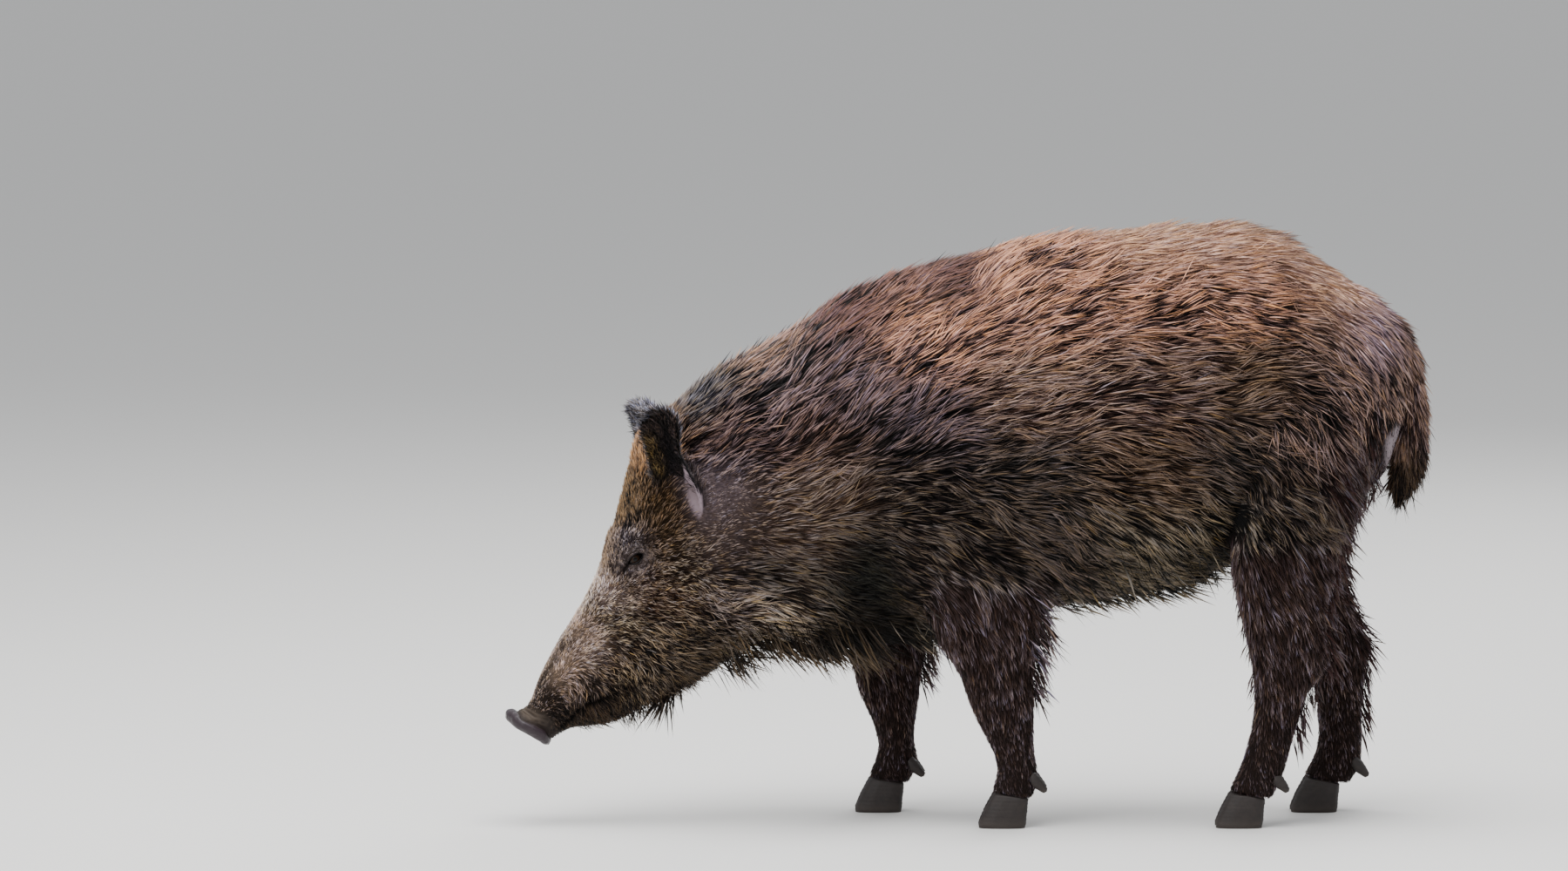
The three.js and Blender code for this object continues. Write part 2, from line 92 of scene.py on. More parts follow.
class Wire:
    """One output of a node. Arithmetic on it adds Math nodes, and node() adds a node of any other type."""

    def __init__(self, tree, socket=None):
        self.tree, self.socket = tree, socket

    def node(self, kind, settings=None, inputs=None, output=0):
        made = self.tree.nodes.new(kind)
        for name, value in (settings or {}).items():
            if name == "stops":
                self.set_stops(made.color_ramp.elements, value)
            else:
                setattr(made, name, value)
        for name, value in (inputs or {}).items():
            if isinstance(value, Wire):
                self.tree.links.new(value.socket, made.inputs[name])
            else:
                made.inputs[name].default_value = value
        return Wire(self.tree, made.outputs[output])

    @staticmethod
    def set_stops(elements, stops):
        while len(elements) < len(stops):
            elements.new(1.0)
        for element, (place, colour) in zip(elements, stops):
            element.position = place
            element.color = (*colour, 1.0)

    def maths(self, operation, *values):
        return self.node("ShaderNodeMath", {"operation": operation}, dict(enumerate(values)))

    def __add__(self, other):
        return self.maths("ADD", self, other)

    def __sub__(self, other):
        return self.maths("SUBTRACT", self, other)

    def __rsub__(self, other):
        return self.maths("SUBTRACT", other, self)

    def __mul__(self, other):
        return self.maths("MULTIPLY", self, other)

    __radd__ = __add__
    __rmul__ = __mul__

    def attribute(self, name, output="Fac"):
        return self.node("ShaderNodeAttribute", {"attribute_name": name}, {}, output)

    def noise(self, scale, detail, roughness=0.55):
        place = self.node("ShaderNodeTexCoord", output="Object")
        inputs = {"Vector": place, "Scale": scale, "Detail": detail, "Roughness": roughness}
        return self.node("ShaderNodeTexNoise", None, inputs)

    def mix(self, share, first, second):
        return self.node("ShaderNodeMix", {"data_type": "RGBA"}, {0: share, 6: first, 7: second}, 2)

    def scaled(self, factor):
        """A colour times a value."""
        thrice = self.node("ShaderNodeCombineXYZ", None, {"X": factor, "Y": factor, "Z": factor})
        return self.node("ShaderNodeVectorMath", {"operation": "MULTIPLY"}, {0: self, 1: thrice})

    def bump(self, height, distance):
        return self.node("ShaderNodeBump", None, {"Height": height, "Distance": distance})


def new_material(name, **constants):
    """A material with a Principled shader; returns it, its shader's inputs and a wire to build on."""
    material = bpy.data.materials.new(name)
    material.use_nodes = True
    shader = material.node_tree.nodes["Principled BSDF"]
    for socket, value in constants.items():
        shader.inputs[socket.replace("_", " ")].default_value = value
    return material, shader.inputs, Wire(material.node_tree)


def feed(wire, socket):
    wire.tree.links.new(wire.socket, socket)


bpy.ops.mesh.primitive_plane_add(size=FLOOR_SIDE)
floor = bpy.context.object
floor.name = "floor"
floor_paint = new_material("floor_paint", Roughness=0.9, Base_Color=(*FLOOR_COLOUR, 1))[0]
floor.data.materials.append(floor_paint)

world = bpy.data.worlds.new("surround")
bpy.context.scene.world = world
world.use_nodes = True
world.node_tree.nodes["Background"].inputs["Color"].default_value = (*SURROUND, 1)
world.node_tree.nodes["Background"].inputs["Strength"].default_value = SURROUND_STRENGTH

for box_name, (place, size, power) in SOFT_BOXES.items():
    light = bpy.data.lights.new(box_name, "AREA")
    light.shape, light.size, light.energy = "SQUARE", size, power
    lamp = placed(box_name, light)
    lamp.location = place
    lamp.rotation_euler = (Vector(place) - LIT_PLACE).to_track_quat("Z", "Y").to_euler()

# ---- Skin ----------------------------------------------------------------------------------------
# One hide over head, neck, trunk, ears, tail and legs, without a seam. It lies under the coat, deeper where
# the hair is longer, with folds behind the elbow and at the flank. Under the coat it is dark with underwool,
# and painted darker still as shade among the hairs.

MM = 0.001
SKIN_GRAIN = 4.0 * MM  # size of the hide's faces on the body
GAP_CLOSER = 0.4 * MM  # the pieces swell by this much, so that their hair-thin gaps close

# What grows where: x and z in mm, the angle above the horizon at which hair points (0 is straight back),
# its length, the coat's depth, and the tone. Both sides are alike.
COAT = [
    # Bridge of the snout, and forehead
    (-565, 165, 62, 4, 0.8, "bridge_dark"), (-545, 205, 62, 6, 1, "bridge_dark"),
    (-525, 245, 62, 7, 1.5, "bridge_dark"), (-497, 290, 60, 8, 2, "bridge"),
    (-465, 345, 62, 11, 3.5, "brow"), (-445, 410, 70, 16, 5, "forehead"),
    (-420, 485, 62, 22, 7.5, "crown"),
    # Muzzle, lips and chin
    (-540, 160, 35, 5, 1, "snout_side"), (-520, 200, 42, 7, 1.5, "muzzle"),
    (-495, 245, 38, 9, 2, "muzzle"), (-487, 226, 8, 11, 2, "muzzle_pale"),
    (-461, 209, -34, 16, 3, "lip_rear"), (-440, 192, -48, 20, 4, "jowl"),
    (-502, 187, -72, 15, 3, "snout_side"), (-485, 165, -78, 17, 3, "lip"),
    (-465, 150, -66, 18, 3.5, "lip"), (-522, 140, -60, 9, 1.5, "lip"),
    (-495, 128, -50, 13, 2.5, "lip"),
    # Cheek, temple and round the eye
    (-455, 264, 10, 12, 3, "cheek_light"), (-463, 300, 22, 10, 2.5, "muzzle_pale"),
    (-452, 338, 50, 7, 1.5, "socket"), (-430, 345, 40, 5, 1, "eye"),
    (-425, 312, 12, 10, 2.5, "cheek"), (-395, 350, 14, 12, 4, "temple"),
    (-398, 410, 50, 14, 4, "temple"), (-370, 332, 8, 13, 4.5, "cheek_light"),
    (-385, 295, 0, 15, 5, "cheek"),
    # Jowl and beard
    (-400, 240, -25, 20, 6, "jowl_dark"), (-375, 256, -12, 24, 7, "jowl_dark"),
    (-345, 248, -20, 14, 6, "beard"), (-405, 188, -46, 26, 6, "jowl_dark"),
    (-378, 172, -66, 40, 7.5, "beard"), (-345, 205, -38, 34, 8.5, "throat"),
    # Ruff and throat
    (-312, 286, -8, 28, 7.5, "ruff_dark"), (-247, 272, -5, 36, 8, "ruff"),
    (-178, 256, -10, 34, 8, "chest"), (-262, 322, 2, 24, 7.5, "neck_dark"),
    (-300, 232, -20, 34, 8, "ruff"), (-200, 236, -12, 34, 8, "chest"),
    # Round the bare patch behind the ear
    (-333, 439, 22, 4, 3.5, "pale"), (-290, 405, 16, 7, 4, "pale_edge"),
    (-325, 365, 10, 9, 4, "pale_edge"), (-325, 492, 34, 26, 8, "neck_purple"),
    # Neck
    (-355, 545, 45, 30, 10, "nape"), (-290, 592, 38, 40, 9, "crest"),
    (-265, 540, 42, 32, 8, "neck_streaked"), (-225, 490, 34, 28, 8, "neck_purple"),
    (-210, 430, 24, 26, 8, "neck"), (-235, 370, 6, 24, 7.5, "neck"),
    (-170, 330, -8, 28, 8, "neck_dark"),
    # Withers, shoulder and upper arm
    (-190, 648, 36, 44, 9, "back_dark"), (-80, 705, 24, 44, 9, "back_dark"),
    (-90, 620, 36, 38, 9, "back"), (-160, 560, 38, 32, 8.5, "shoulder"),
    (-85, 520, 30, 32, 8.5, "shoulder"), (-80, 425, 6, 28, 7.5, "elbow"),
    (-50, 350, -22, 24, 6, "elbow"),
    # Front of the trunk
    (60, 740, 8, 44, 9, "back"), (60, 660, 14, 40, 9, "back"),
    (60, 560, 12, 34, 9, "flank"), (50, 460, -2, 32, 8.5, "flank_dark"),
    (20, 385, -30, 28, 6.5, "elbow"), (105, 355, -38, 36, 7.5, "flank_dark"),
    (40, 270, -18, 34, 7.5, "belly"),
    # Middle of the trunk
    (220, 760, 3, 44, 9, "croup"), (220, 680, 5, 40, 9, "back"),
    (220, 580, 0, 36, 9, "flank"), (220, 460, -14, 34, 8.5, "flank_low"),
    (200, 370, -38, 36, 8, "belly"), (200, 300, -18, 38, 8, "belly"),
    # Loin and flank
    (350, 765, -8, 40, 8.5, "croup"), (350, 690, -12, 38, 9, "back"),
    (350, 580, -8, 34, 8.5, "flank_low"), (320, 470, -22, 34, 8, "flank_dark"),
    (305, 385, -42, 38, 7.5, "belly"),
    # Rump and thigh
    (450, 712, -32, 38, 8, "croup"), (440, 620, -34, 34, 8.5, "rump"),
    (420, 520, -40, 32, 8, "rump_dark"), (400, 430, -55, 28, 6.5, "elbow"),
    (520, 660, -55, 32, 7.5, "seat"), (520, 580, -68, 30, 7.5, "rump"),
    (505, 480, -62, 28, 6, "thigh"), (550, 560, -85, 24, 5.5, "rump"),
]
LEG_COAT = [  # up the legs: height in mm, then the angle and the rest as above
    (45, -72, 7, 1.5, "leg"), (90, -82, 9, 2, "leg"), (150, -82, 12, 3, "leg"),
    (230, -72, 17, 4, "leg"), (330, -62, 22, 6, "leg"), (440, -56, 26, 7, "thigh"),
]
TAIL_COAT = (-84, 30, 7, "rump")
TAIL_TUFT_COAT = (-90, 24, 7, "lip")
EAR_COAT = (60, 9, 1.6, "ear")
DISC_COAT = (60, 0, 0, "bridge")
TONES = {  # the colour of the darkest hair and of the lightest
    "bridge": ("4a3d34", "d2bfae"), "bridge_dark": ("352922", "aa988a"),
    "brow": ("170f0f", "8d7156"), "forehead": ("040404", "806547"),
    "crown": ("33241a", "b08660"), "temple": ("31220f", "876c55"),
    "snout_side": ("24180f", "cfb3a4"), "muzzle": ("967f6d", "e7c7b7"),
    "muzzle_pale": ("7f6a61", "e7d2c4"), "socket": ("3a2d29", "9d8b7e"),
    "eye": ("40353a", "cdc0c4"), "cheek": ("2b170d", "bca38f"),
    "cheek_light": ("2e2016", "cbb8a1"), "jowl_dark": ("070404", "a89178"),
    "ruff_dark": ("0e0605", "baa59c"), "jowl": ("070404", "cbb498"),
    "lip_rear": ("1a0f0a", "a8907a"), "lip": ("0b0605", "5e4c3c"),
    "beard": ("0b0807", "4c4036"), "throat": ("100a06", "74624e"),
    "ruff": ("110704", "e7cfb6"), "chest": ("070504", "241e19"),
    "pale": ("66565a", "a8979b"), "pale_edge": ("5a4a45", "988378"),
    "nape": ("04050e", "6d6563"), "crest": ("040404", "a78674"),
    "neck": ("564237", "988578"), "neck_purple": ("100404", "85665c"),
    "neck_streaked": ("060606", "90797b"), "neck_dark": ("040404", "24251f"),
    "back": ("130b0e", "dca58a"), "back_dark": ("040404", "775954"),
    "croup": ("916a5a", "e7bca2"), "shoulder": ("050404", "7c6769"),
    "flank": ("1f100d", "ac8e7f"), "flank_low": ("160a04", "8d7360"),
    "flank_dark": ("040404", "77665c"), "belly": ("040404", "988974"),
    "rump": ("0a0404", "b49386"), "seat": ("6b5760", "e7c1c2"),
    "rump_dark": ("050404", "a08378"), "thigh": ("1d0604", "6b5c5e"),
    "elbow": ("090404", "726357"), "leg": ("231612", "ac9ba4"),
    "ear": ("060404", "54443f"), "ear_olive": ("2a2012", "8a734a"),
    "ear_black": ("060405", "1e1618"), "ear_grey": ("47454c", "a9a6b2"),
    "spine": ("33231c", "a5856c"),
}
# By x in mm, over how many mm each row of that list fades into the next.
COAT_REACH = (-470, 17.0), (-400, 24.0), (-230, 42.0)
FOLDS = [  # from x, z to x, z, with half width and depth, all in mm
    ((-20, 430), (44, 380), 16, 8),  # behind the elbow
    ((44, 380), (89, 324), 14, 9),  # behind the elbow
    ((89, 324), (122, 290), 13, 6),  # behind the elbow
    ((325, 350), (340, 430), 16, 8),  # before the thigh
    ((340, 430), (372, 520), 18, 5),  # before the thigh
    ((-368, 486), (-250, 478), 8, 4),  # under the neck's long hair
    ((-348, 250), (-342, 246), 9, 6),  # hollow of the jowl
    ((548, 515), (542, 455), 26, -14),  # buttock
]


def linear(code):
    """A colour written in the usual six figures, as the light that it reflects."""
    shades = np.array([int(code[i : i + 2], 16) / 255 for i in (0, 2, 4)])
    return np.where(shades <= 0.04045, shades / 12.92, ((shades + 0.055) / 1.055) ** 2.4)


def growth(angle, length, depth, tone):
    """What grows at one place, as numbers: the lie's x and z, length, depth, dark colour and light colour."""
    dark, light = TONES[tone]
    lie = math.cos(math.radians(angle)), math.sin(math.radians(angle))
    return np.array([*lie, length * MM, depth * MM, *linear(dark), *linear(light)])


def read(items, field, wide=3, kind=float):
    """What the items of a mesh hold, a row of numbers for each."""
    values = np.empty(len(items) * wide, dtype=kind)
    items.foreach_get(field, values)
    return values.reshape(-1, wide)


def corners_of(mesh):
    return read(mesh.vertices, "co")


def facings_of(mesh):
    return read(mesh.vertex_normals, "vector")


def edges_of(mesh):
    return read(mesh.edges, "vertices", 2, int).T


def triangles_of(mesh):
    mesh.calc_loop_triangles()
    return read(mesh.loop_triangles, "vertices", kind=int)


def set_corners(mesh, points):
    mesh.vertices.foreach_set("co", points.astype(np.float32).ravel())
    mesh.update()


def cover(mesh, material):
    """Gives a mesh its material and smooth shading."""
    mesh.materials.append(material)
    mesh.polygons.foreach_set("use_smooth", np.ones(len(mesh.polygons), dtype=bool))


def joined_nodes(names, swell):
    """Corners and triangles of several CAD nodes, each swollen, and each triangle's node by number."""
    corners, triangles, owner, start = [], [], [], 0
    for number, name in enumerate(names):
        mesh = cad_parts[name].data
        corners.append(corners_of(mesh) + facings_of(mesh) * swell)
        triangles.append(triangles_of(mesh) + start)
        owner += [number] * len(triangles[-1])
        start += len(mesh.vertices)
    return np.concatenate(corners), np.concatenate(triangles), np.array(owner)


def remeshed(name, corners, triangles, grain):
    """A new object: one even, closed skin over the given triangles."""
    rough = bpy.data.meshes.new(name)
    rough.from_pydata(corners.tolist(), [], triangles.tolist())
    made = placed(name, rough)
    wrap = made.modifiers.new("wrap", "REMESH")
    wrap.mode, wrap.voxel_size = "VOXEL", grain
    settled = bpy.data.meshes.new_from_object(made.evaluated_get(bpy.context.evaluated_depsgraph_get()))
    made.modifiers.clear()
    made.data = settled
    return made


def spread(values, edges, rounds, share=0.5):
    """Values on a mesh, evened out with those of the neighbours a number of times."""
    first, second = edges
    size = len(values)
    near = np.maximum(np.bincount(first, minlength=size) + np.bincount(second, minlength=size), 1)
    rows, share = np.reshape(values, (size, -1)), np.reshape(share, (-1, 1))
    for _ in range(rounds):
        around = [
            np.bincount(first, column[second], size) + np.bincount(second, column[first], size)
            for column in rows.T
        ]
        rows = rows + share * (np.stack(around, axis=1) / near[:, None] - rows)
    return rows.reshape(np.shape(values))


def unit(vectors):
    return vectors / np.maximum(np.linalg.norm(vectors, axis=-1, keepdims=True), 1e-9)


def along_surface(directions, facings):
    """Directions laid flat on the surface."""
    return unit(directions - facings * np.sum(directions * facings, axis=1, keepdims=True))


def ease(value, start, end):
    share = np.clip((value - start) / (end - start), 0, 1)
    return share * share * (3 - 2 * share)


def within(value, low, low_full, high_full, high):
    """1 between two values, easing to 0 outside them."""
    return ease(value, low, low_full) * ease(-value, -high, -high_full)


def hump(distance, half_width):
    return np.exp(-((distance / half_width) ** 2))


def off_path(across, up, path):
    """How far places lie from a path of straight runs, and how far along it, from 0 to 1, the nearest is."""
    points, path = np.stack([across, up], axis=1), np.array(path, dtype=float)
    lengths = np.linalg.norm(np.diff(path, axis=0), axis=1)
    passed = np.concatenate([[0], np.cumsum(lengths)])
    best, place = np.full(len(points), 1e9), np.zeros(len(points))
    for number, (start, end) in enumerate(zip(path, path[1:])):
        run, offset = end - start, points - start
        share = np.clip(offset @ run / run.dot(run), 0, 1)
        distance = np.linalg.norm(offset - share[:, None] * run, axis=1)
        place = np.where(distance < best, (passed[number] + share * lengths[number]) / passed[-1], place)
        best = np.minimum(best, distance)
    return best, place


def middle_of(node):
    low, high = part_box(node)
    return np.array((low + high) / 2)


def subdivided_near(mesh, spots):
    """The mesh with finer faces near some spots, one step finer for each time that a spot is given."""
    work = bmesh.new()
    work.from_mesh(mesh)
    for centre, radius in spots:
        centre = Vector(centre)
        near = {v for v in work.verts if (v.co - centre).length < radius}
        chosen = [e for e in work.edges if e.verts[0] in near and e.verts[1] in near]
        bmesh.ops.subdivide_edges(work, edges=chosen, cuts=1, use_grid_fill=True)
    bmesh.ops.triangulate(work, faces=[f for f in work.faces if len(f.verts) > 4])
    work.to_mesh(mesh)
    work.free()


# The head's own directions: ahead to the snout, over its bridge, and aside to its left.
eyes = {"left": middle_of("eye_left"), "right": middle_of("eye_right")}
between_eyes = (eyes["left"] + eyes["right"]) / 2
sideways = unit(eyes["left"] - eyes["right"])
forward = middle_of("snout_disc") - between_eyes
forward = unit(forward - sideways * forward.dot(sideways))
above = np.cross(forward, sideways)
snout_reach = (middle_of("snout_disc") - between_eyes).dot(forward)
SNOUT_END = 0.012  # the finest part of the snout starts this far behind the middle of its disc


def on_head(points):
    """Where points lie from the middle between the eyes, in mm: ahead, over and aside."""
    return (points - between_eyes) @ np.stack([forward, above, sideways], axis=1) / MM


HARD = "eye_", "hoof", "claw"  # words in the names of the nodes that the hide doesn't cover
FLESH = [name for name in sorted(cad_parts) if not any(word in name for word in HARD)]
flesh_corners, flesh_triangles, flesh_owner = joined_nodes(FLESH, GAP_CLOSER)
flesh_tree = BVHTree.FromPolygons(flesh_corners.tolist(), flesh_triangles.tolist())


def on_nodes(points, *groups):
    """For each group of words: which points lie on nodes whose names hold one of the words."""
    nearest = flesh_owner[[flesh_tree.find_nearest(point)[2] for point in points.tolist()]]
    chosen = []
    for words in groups:
        numbers = [i for i, name in enumerate(FLESH) if any(word in name for word in words.split())]
        chosen.append(np.isin(nearest, numbers))
    return chosen


skin = remeshed("skin", flesh_corners, flesh_triangles, SKIN_GRAIN)


def facings_after(points):
    """Moves the skin's corners, and says which way it then faces there."""
    set_corners(skin.data, points)
    return facings_of(skin.data)


skin_edges = edges_of(skin.data)
skin_points = corners_of(skin.data)
legs, thin_ends, head_piece, feet, disc = on_nodes(
    skin_points, "fore_ hind_", "ear_ tail", "head lower_jaw", "_foot", "snout_disc"
)
# The joints between the pieces are evened out, least at the feet and the disc.
evening = np.select([feet, disc, legs, head_piece, thin_ends], [0.1, 0.05, 0.35, 0.25, 0.15], 0.5)
evening = spread(evening, skin_edges, 8)
evened = spread(skin_points, skin_edges, 34, evening)
skin_points = evened + spread(skin_points - evened, skin_edges, 20)
set_corners(skin.data, skin_points)

fine_spots = [  # on the snout, at its disc and at the root of each ear: middle and radius
    (between_eyes + forward * snout_reach * 0.82, 0.080),
    (between_eyes + forward * (snout_reach - SNOUT_END), 0.050),
    ((-0.352, -0.112, 0.436), 0.048),
    ((-0.352, 0.112, 0.436), 0.048),
]
fine_spots += [(eye, radius) for eye in eyes.values() for radius in (0.040, 0.031, 0.026)]
subdivided_near(skin.data, fine_spots)
skin_edges = edges_of(skin.data)
skin_points = corners_of(skin.data)
on_face, on_disc, on_body, on_tail, on_left_ear, on_far_ear, on_fore, on_hind = on_nodes(
    skin_points, "head lower_jaw", "snout_disc", "trunk neck", "tail", "ear_left", "ear_right", "fore_",
    "hind_"
)
on_ear, on_leg = on_left_ear | on_far_ear, on_fore | on_hind
finer = spread((on_face | on_disc) * 0.5, skin_edges, 3)
skin_points = spread(skin_points, skin_edges, 14, finer)

# The ears are blunt, and the near one narrows quickly above its hollow: height, the front and rear edges of
# the joined pieces there and those of the skin, in mm.
NEAR_EAR = [
    (420, -403, -336, -403, -338), (440, -406, -338, -406, -345), (460, -410, -343, -410, -356),
    (480, -412, -349, -413, -366), (500, -412, -359, -414, -369), (520, -408, -370, -414, -370),
    (540, -401, -389, -405, -381),
]
near_x, _, near_z = (skin_points[on_left_ear] / MM).T
ear_height, *ear_edges = np.array(NEAR_EAR, dtype=float).T
front_was, rear_was, front_is, rear_is = (np.interp(near_z, ear_height, edge) for edge in ear_edges)
near_x = front_is + (near_x - front_was) / (rear_was - front_was) * (rear_is - front_is)
skin_points[on_left_ear, 0] = near_x * MM
far_x, far_z = skin_points[on_far_ear][:, 0], skin_points[on_far_ear][:, 2] / MM
far_middle = far_x[far_z > 500].mean()
skin_points[on_far_ear, 0] = far_middle + (far_x - far_middle) * (1 + 0.5 * ease(far_z, 500, 540))
EAR_TIPS_FROM = 0.505  # above this height only a share of the ears' height is kept
for mine, kept in ((on_left_ear, 0.8), (on_far_ear, 0.65)):
    z = skin_points[mine, 2]
    skin_points[mine, 2] = np.minimum(z, EAR_TIPS_FROM) + kept * np.maximum(z - EAR_TIPS_FROM, 0)
skin_points = spread(skin_points, skin_edges, 7, on_ear * 0.4)
# The tail gets wider towards its tuft.
tail_x, tail_z = skin_points[on_tail][:, 0], skin_points[on_tail][:, 2] / MM
widening = 1 + 0.4 * ease(-tail_z, -550, -500)
skin_points[on_tail, 0] = tail_x.max() + (tail_x - tail_x.max()) * widening
ear_share = spread(on_ear * 1.0, skin_edges, 6)
skin_points = spread(skin_points, skin_edges, 10, 2 * ear_share * (1 - ear_share))
skin_facings = unit(spread(facings_after(skin_points), skin_edges, 3))

x_mm, y_mm, z_mm = (skin_points / MM).T
rows = np.array([row[:2] for row in COAT], dtype=float)
reach = np.interp(x_mm, *zip(*COAT_REACH))
off_row = (x_mm[:, None] - rows[:, 0]) ** 2 + (z_mm[:, None] - rows[:, 1]) ** 2
near_row = np.exp(-(off_row / reach[:, None] ** 2))
near_row = (near_row + 1e-12) / np.sum(near_row + 1e-12, axis=1, keepdims=True)
skin_growth = near_row @ np.array([growth(*row[2:]) for row in COAT])
heights = [row[0] for row in LEG_COAT]
leg_rows = np.array([growth(*row[1:]) for row in LEG_COAT])
leg_growth = np.stack([np.interp(z_mm, heights, column) for column in leg_rows.T], axis=1)
tuft_share = ease(-z_mm, -520, -465)[:, None]
tail_growth = (1 - tuft_share) * growth(*TAIL_COAT) + tuft_share * growth(*TAIL_TUFT_COAT)
for mine, grown in (
    (on_leg, leg_growth),
    (on_tail, tail_growth),
    (on_ear, growth(*EAR_COAT)),
    (on_disc, growth(*DISC_COAT)),
):
    skin_growth = np.where(mine[:, None], grown, skin_growth)
skin_growth = spread(skin_growth, skin_edges, 4)
skin_growth = spread(skin_growth, skin_edges, 24, (on_body | on_leg) * 0.5)

# The lie of the hair, on the ears from base to tip.
lie = np.stack([skin_growth[:, 0], np.zeros(len(skin_points)), skin_growth[:, 1]], axis=1)
ear_ends = {}
for ear, mine in (("left", on_left_ear), ("right", on_far_ear)):
    ear_points = skin_points[mine]
    tip = ear_points[ear_points[:, 2] > ear_points[:, 2].max() - 6 * MM].mean(axis=0)
    base = ear_points[ear_points[:, 2] < np.quantile(ear_points[:, 2], 0.2)].mean(axis=0)
    ear_ends[ear] = (base, tip)
    axis = unit(tip - base)
    risen = (ear_points - base) @ axis
    off_axis = ear_points - base - risen[:, None] * axis
    fanned = ease(risen, 0.4 * risen.max(), risen.max())[:, None]
    lie[mine] = axis + fanned * off_axis / (22 * MM)
skin_lie = along_surface(lie, skin_facings)

inset = skin_growth[:, 3].copy()
for start, end, half_width, depth in FOLDS:
    distance, _ = off_path(x_mm, z_mm, [start, end])
    sides = ease(np.abs(y_mm), 35, 60) if depth > 0 else 1
    inset += depth * MM * hump(distance, half_width) * sides * ~(on_ear | on_leg | on_tail)
skin_points = skin_points - skin_facings * spread(inset, skin_edges, 2)[:, None]
skin_points = spread(skin_points, skin_edges, 2, np.where(on_disc, 0.1, 0.4))
set_corners(skin.data, skin_points)

hide, skin_inputs, wire = new_material("hide", IOR=1.45, Coat_Roughness=0.3, Specular_IOR_Level=0.2)
grain = wire.noise(420, 4, 0.6)
blotches = wire.noise(38, 3)
bare = wire.attribute("bare")
# Under the coat the hide is painted dark, as shade among the hairs over the dark underwool; bare skin is
# lighter.
shade = (0.30 + blotches * 0.25) * (1 - bare) + (0.75 + blotches * 0.5) * bare
feed(wire.attribute("tint", "Color").scaled(shade), skin_inputs["Base Color"])
wet = wire.attribute("wet")
feed(0.85 - bare * 0.25 - wet * 0.2 + grain * 0.1, skin_inputs["Roughness"])
feed(wet * 0.25, skin_inputs["Coat Weight"])
feed(wire.bump(grain + wire.noise(1500, 2) * 0.5, 0.0006), skin_inputs["Normal"])
cover(skin.data, hide)
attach(skin, "root")
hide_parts(*FLESH)

# ---- Face: eyelids, mouth and snout --------------------------------------------------------------
# Folds of the same hide: heavy dark lids round a narrow slanting slit with a tear furrow below its front,
# the lip bulging over the tusk, wrinkles behind the snout, and the bare disc with its raised rim.

EYE_BALL_RADIUS = (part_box("eye_left")[1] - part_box("eye_left")[0])[0] / 2
SOCKET_RADIUS, SOCKET_DEPTH = 0.034, 0.030
LID_THICKNESS = 1.6 * MM
FULL_RADIUS, FULL_DEPTH = 0.017, 0.008  # this close to the ball's axis, no flesh lies lower than this
LID_RADIUS = 9.5 * MM  # a lid follows the ball this far from its axis
LID_BLEND = 0.009, 0.029  # and between these distances it runs out into the face
LID_FOLDS = [  # distance from the slit and half width, then the height on the upper and the lower lid, in mm
    (1.4, 1.1, 1.1, 0.6),
    (4.6, 1.0, -1.2, -0.7),
    (7.0, 1.4, 0.9, 0.4),
]
PARTED_DEPTH = 9 * MM  # inside the slit the skin lies this far behind the ball's front
SLIT_MIDDLE, SLIT_HALF_LENGTH = -1.0 * MM, 11.0 * MM
SLIT_TOP, SLIT_BOTTOM = 4.8 * MM, 3.8 * MM
SLIT_SLANT = math.radians(26)
# Ridges and furrows on both sides of the face, as paths ahead and over from the middle between the eyes:
# half width and height in mm, and the darkening of the skin and the hair on it, which is painted shade in
# the furrows, the hollows and the mouth, and darker skin on the lips and over the tusk.
FACE_FORMS = [
    ("tear furrow", [(8, 5), (16, 5), (25, 4)], 2.0, -3.2, 0.95),
    ("brow fold", [(13, 31), (-8, 31), (-24, 18), (-28, -4), (-20, -18)], 4.5, 2.4, 0.0),
    ("furrow under the brow fold", [(8, 22), (-8, 22), (-18, 13), (-21, -2)], 2.2, -1.5, 0.35),
    ("fold below the eye", [(26, 1), (14, -11), (-8, -22), (-18, -20)], 1.8, -1.2, 0.3),
    ("pad before the eye", [(15, 22), (12, 19)], 9, 2.2, 0.0),
    ("cheekbone", [(24, -26), (-12, -38), (-50, -46), (-90, -38)], 15, 3.5, 0.0),
    ("hollow below the cheekbone", [(60, -50), (20, -76), (-20, -92)], 20, -3.0, 0.12),
    ("bridge furrow", [(212, 19), (184, 18), (144, 13), (100, 2)], 4.0, -1.6, 0.35),
    ("edge of the bridge", [(205, 28), (160, 26), (110, 14), (60, 10)], 7.0, 1.6, 0.0),
    ("mouth", [(246, -27), (219, -32), (195, -38), (175, -50), (159, -64), (140, -76), (112, -86)],
     2.2, -3.6, 0.8),
    ("upper lip", [(228, -22), (205, -26), (183, -32), (162, -50), (146, -64)], 7.0, 2.6, 0.25),
    ("tusk under the lip", [(178, -20), (172, -25)], 13, 5.5, 0.2),
    ("hollow before the tusk", [(204, -6), (196, -14)], 9, -2.0, 0.15),
    ("lower lip", [(222, -44), (196, -52), (178, -66), (160, -82)], 6.0, 1.6, 0.3),
]
DISC_FORWARD, DISC_RIM, DISC_HOLLOW = 5.0, 2.0, 1.8  # in mm, as are the next two
RIM_GROOVE = 2.6
BRIDGE_GAIN = 6.5  # just behind the rim
RIM_EDGE = [(-31, 257), (-16, 249), (0, 249), (16, 253), (28, 248)]  # of its rear, as over and ahead
# The pale hollow inside the ears' rear edge: height, front edge and rear edge in mm.
EAR_HOLLOW = [(398, -346, -343), (411, -354, -339), (428, -360, -339), (452, -363, -351), (476, -366, -367)]
# Bare patches, each with its middle and half size, across and up: behind the ear, and beside the tail.
EAR_PATCH = (-324, 46), (434, 42)
BUTTOCK_PATCH = (44, 40), (482, 42)


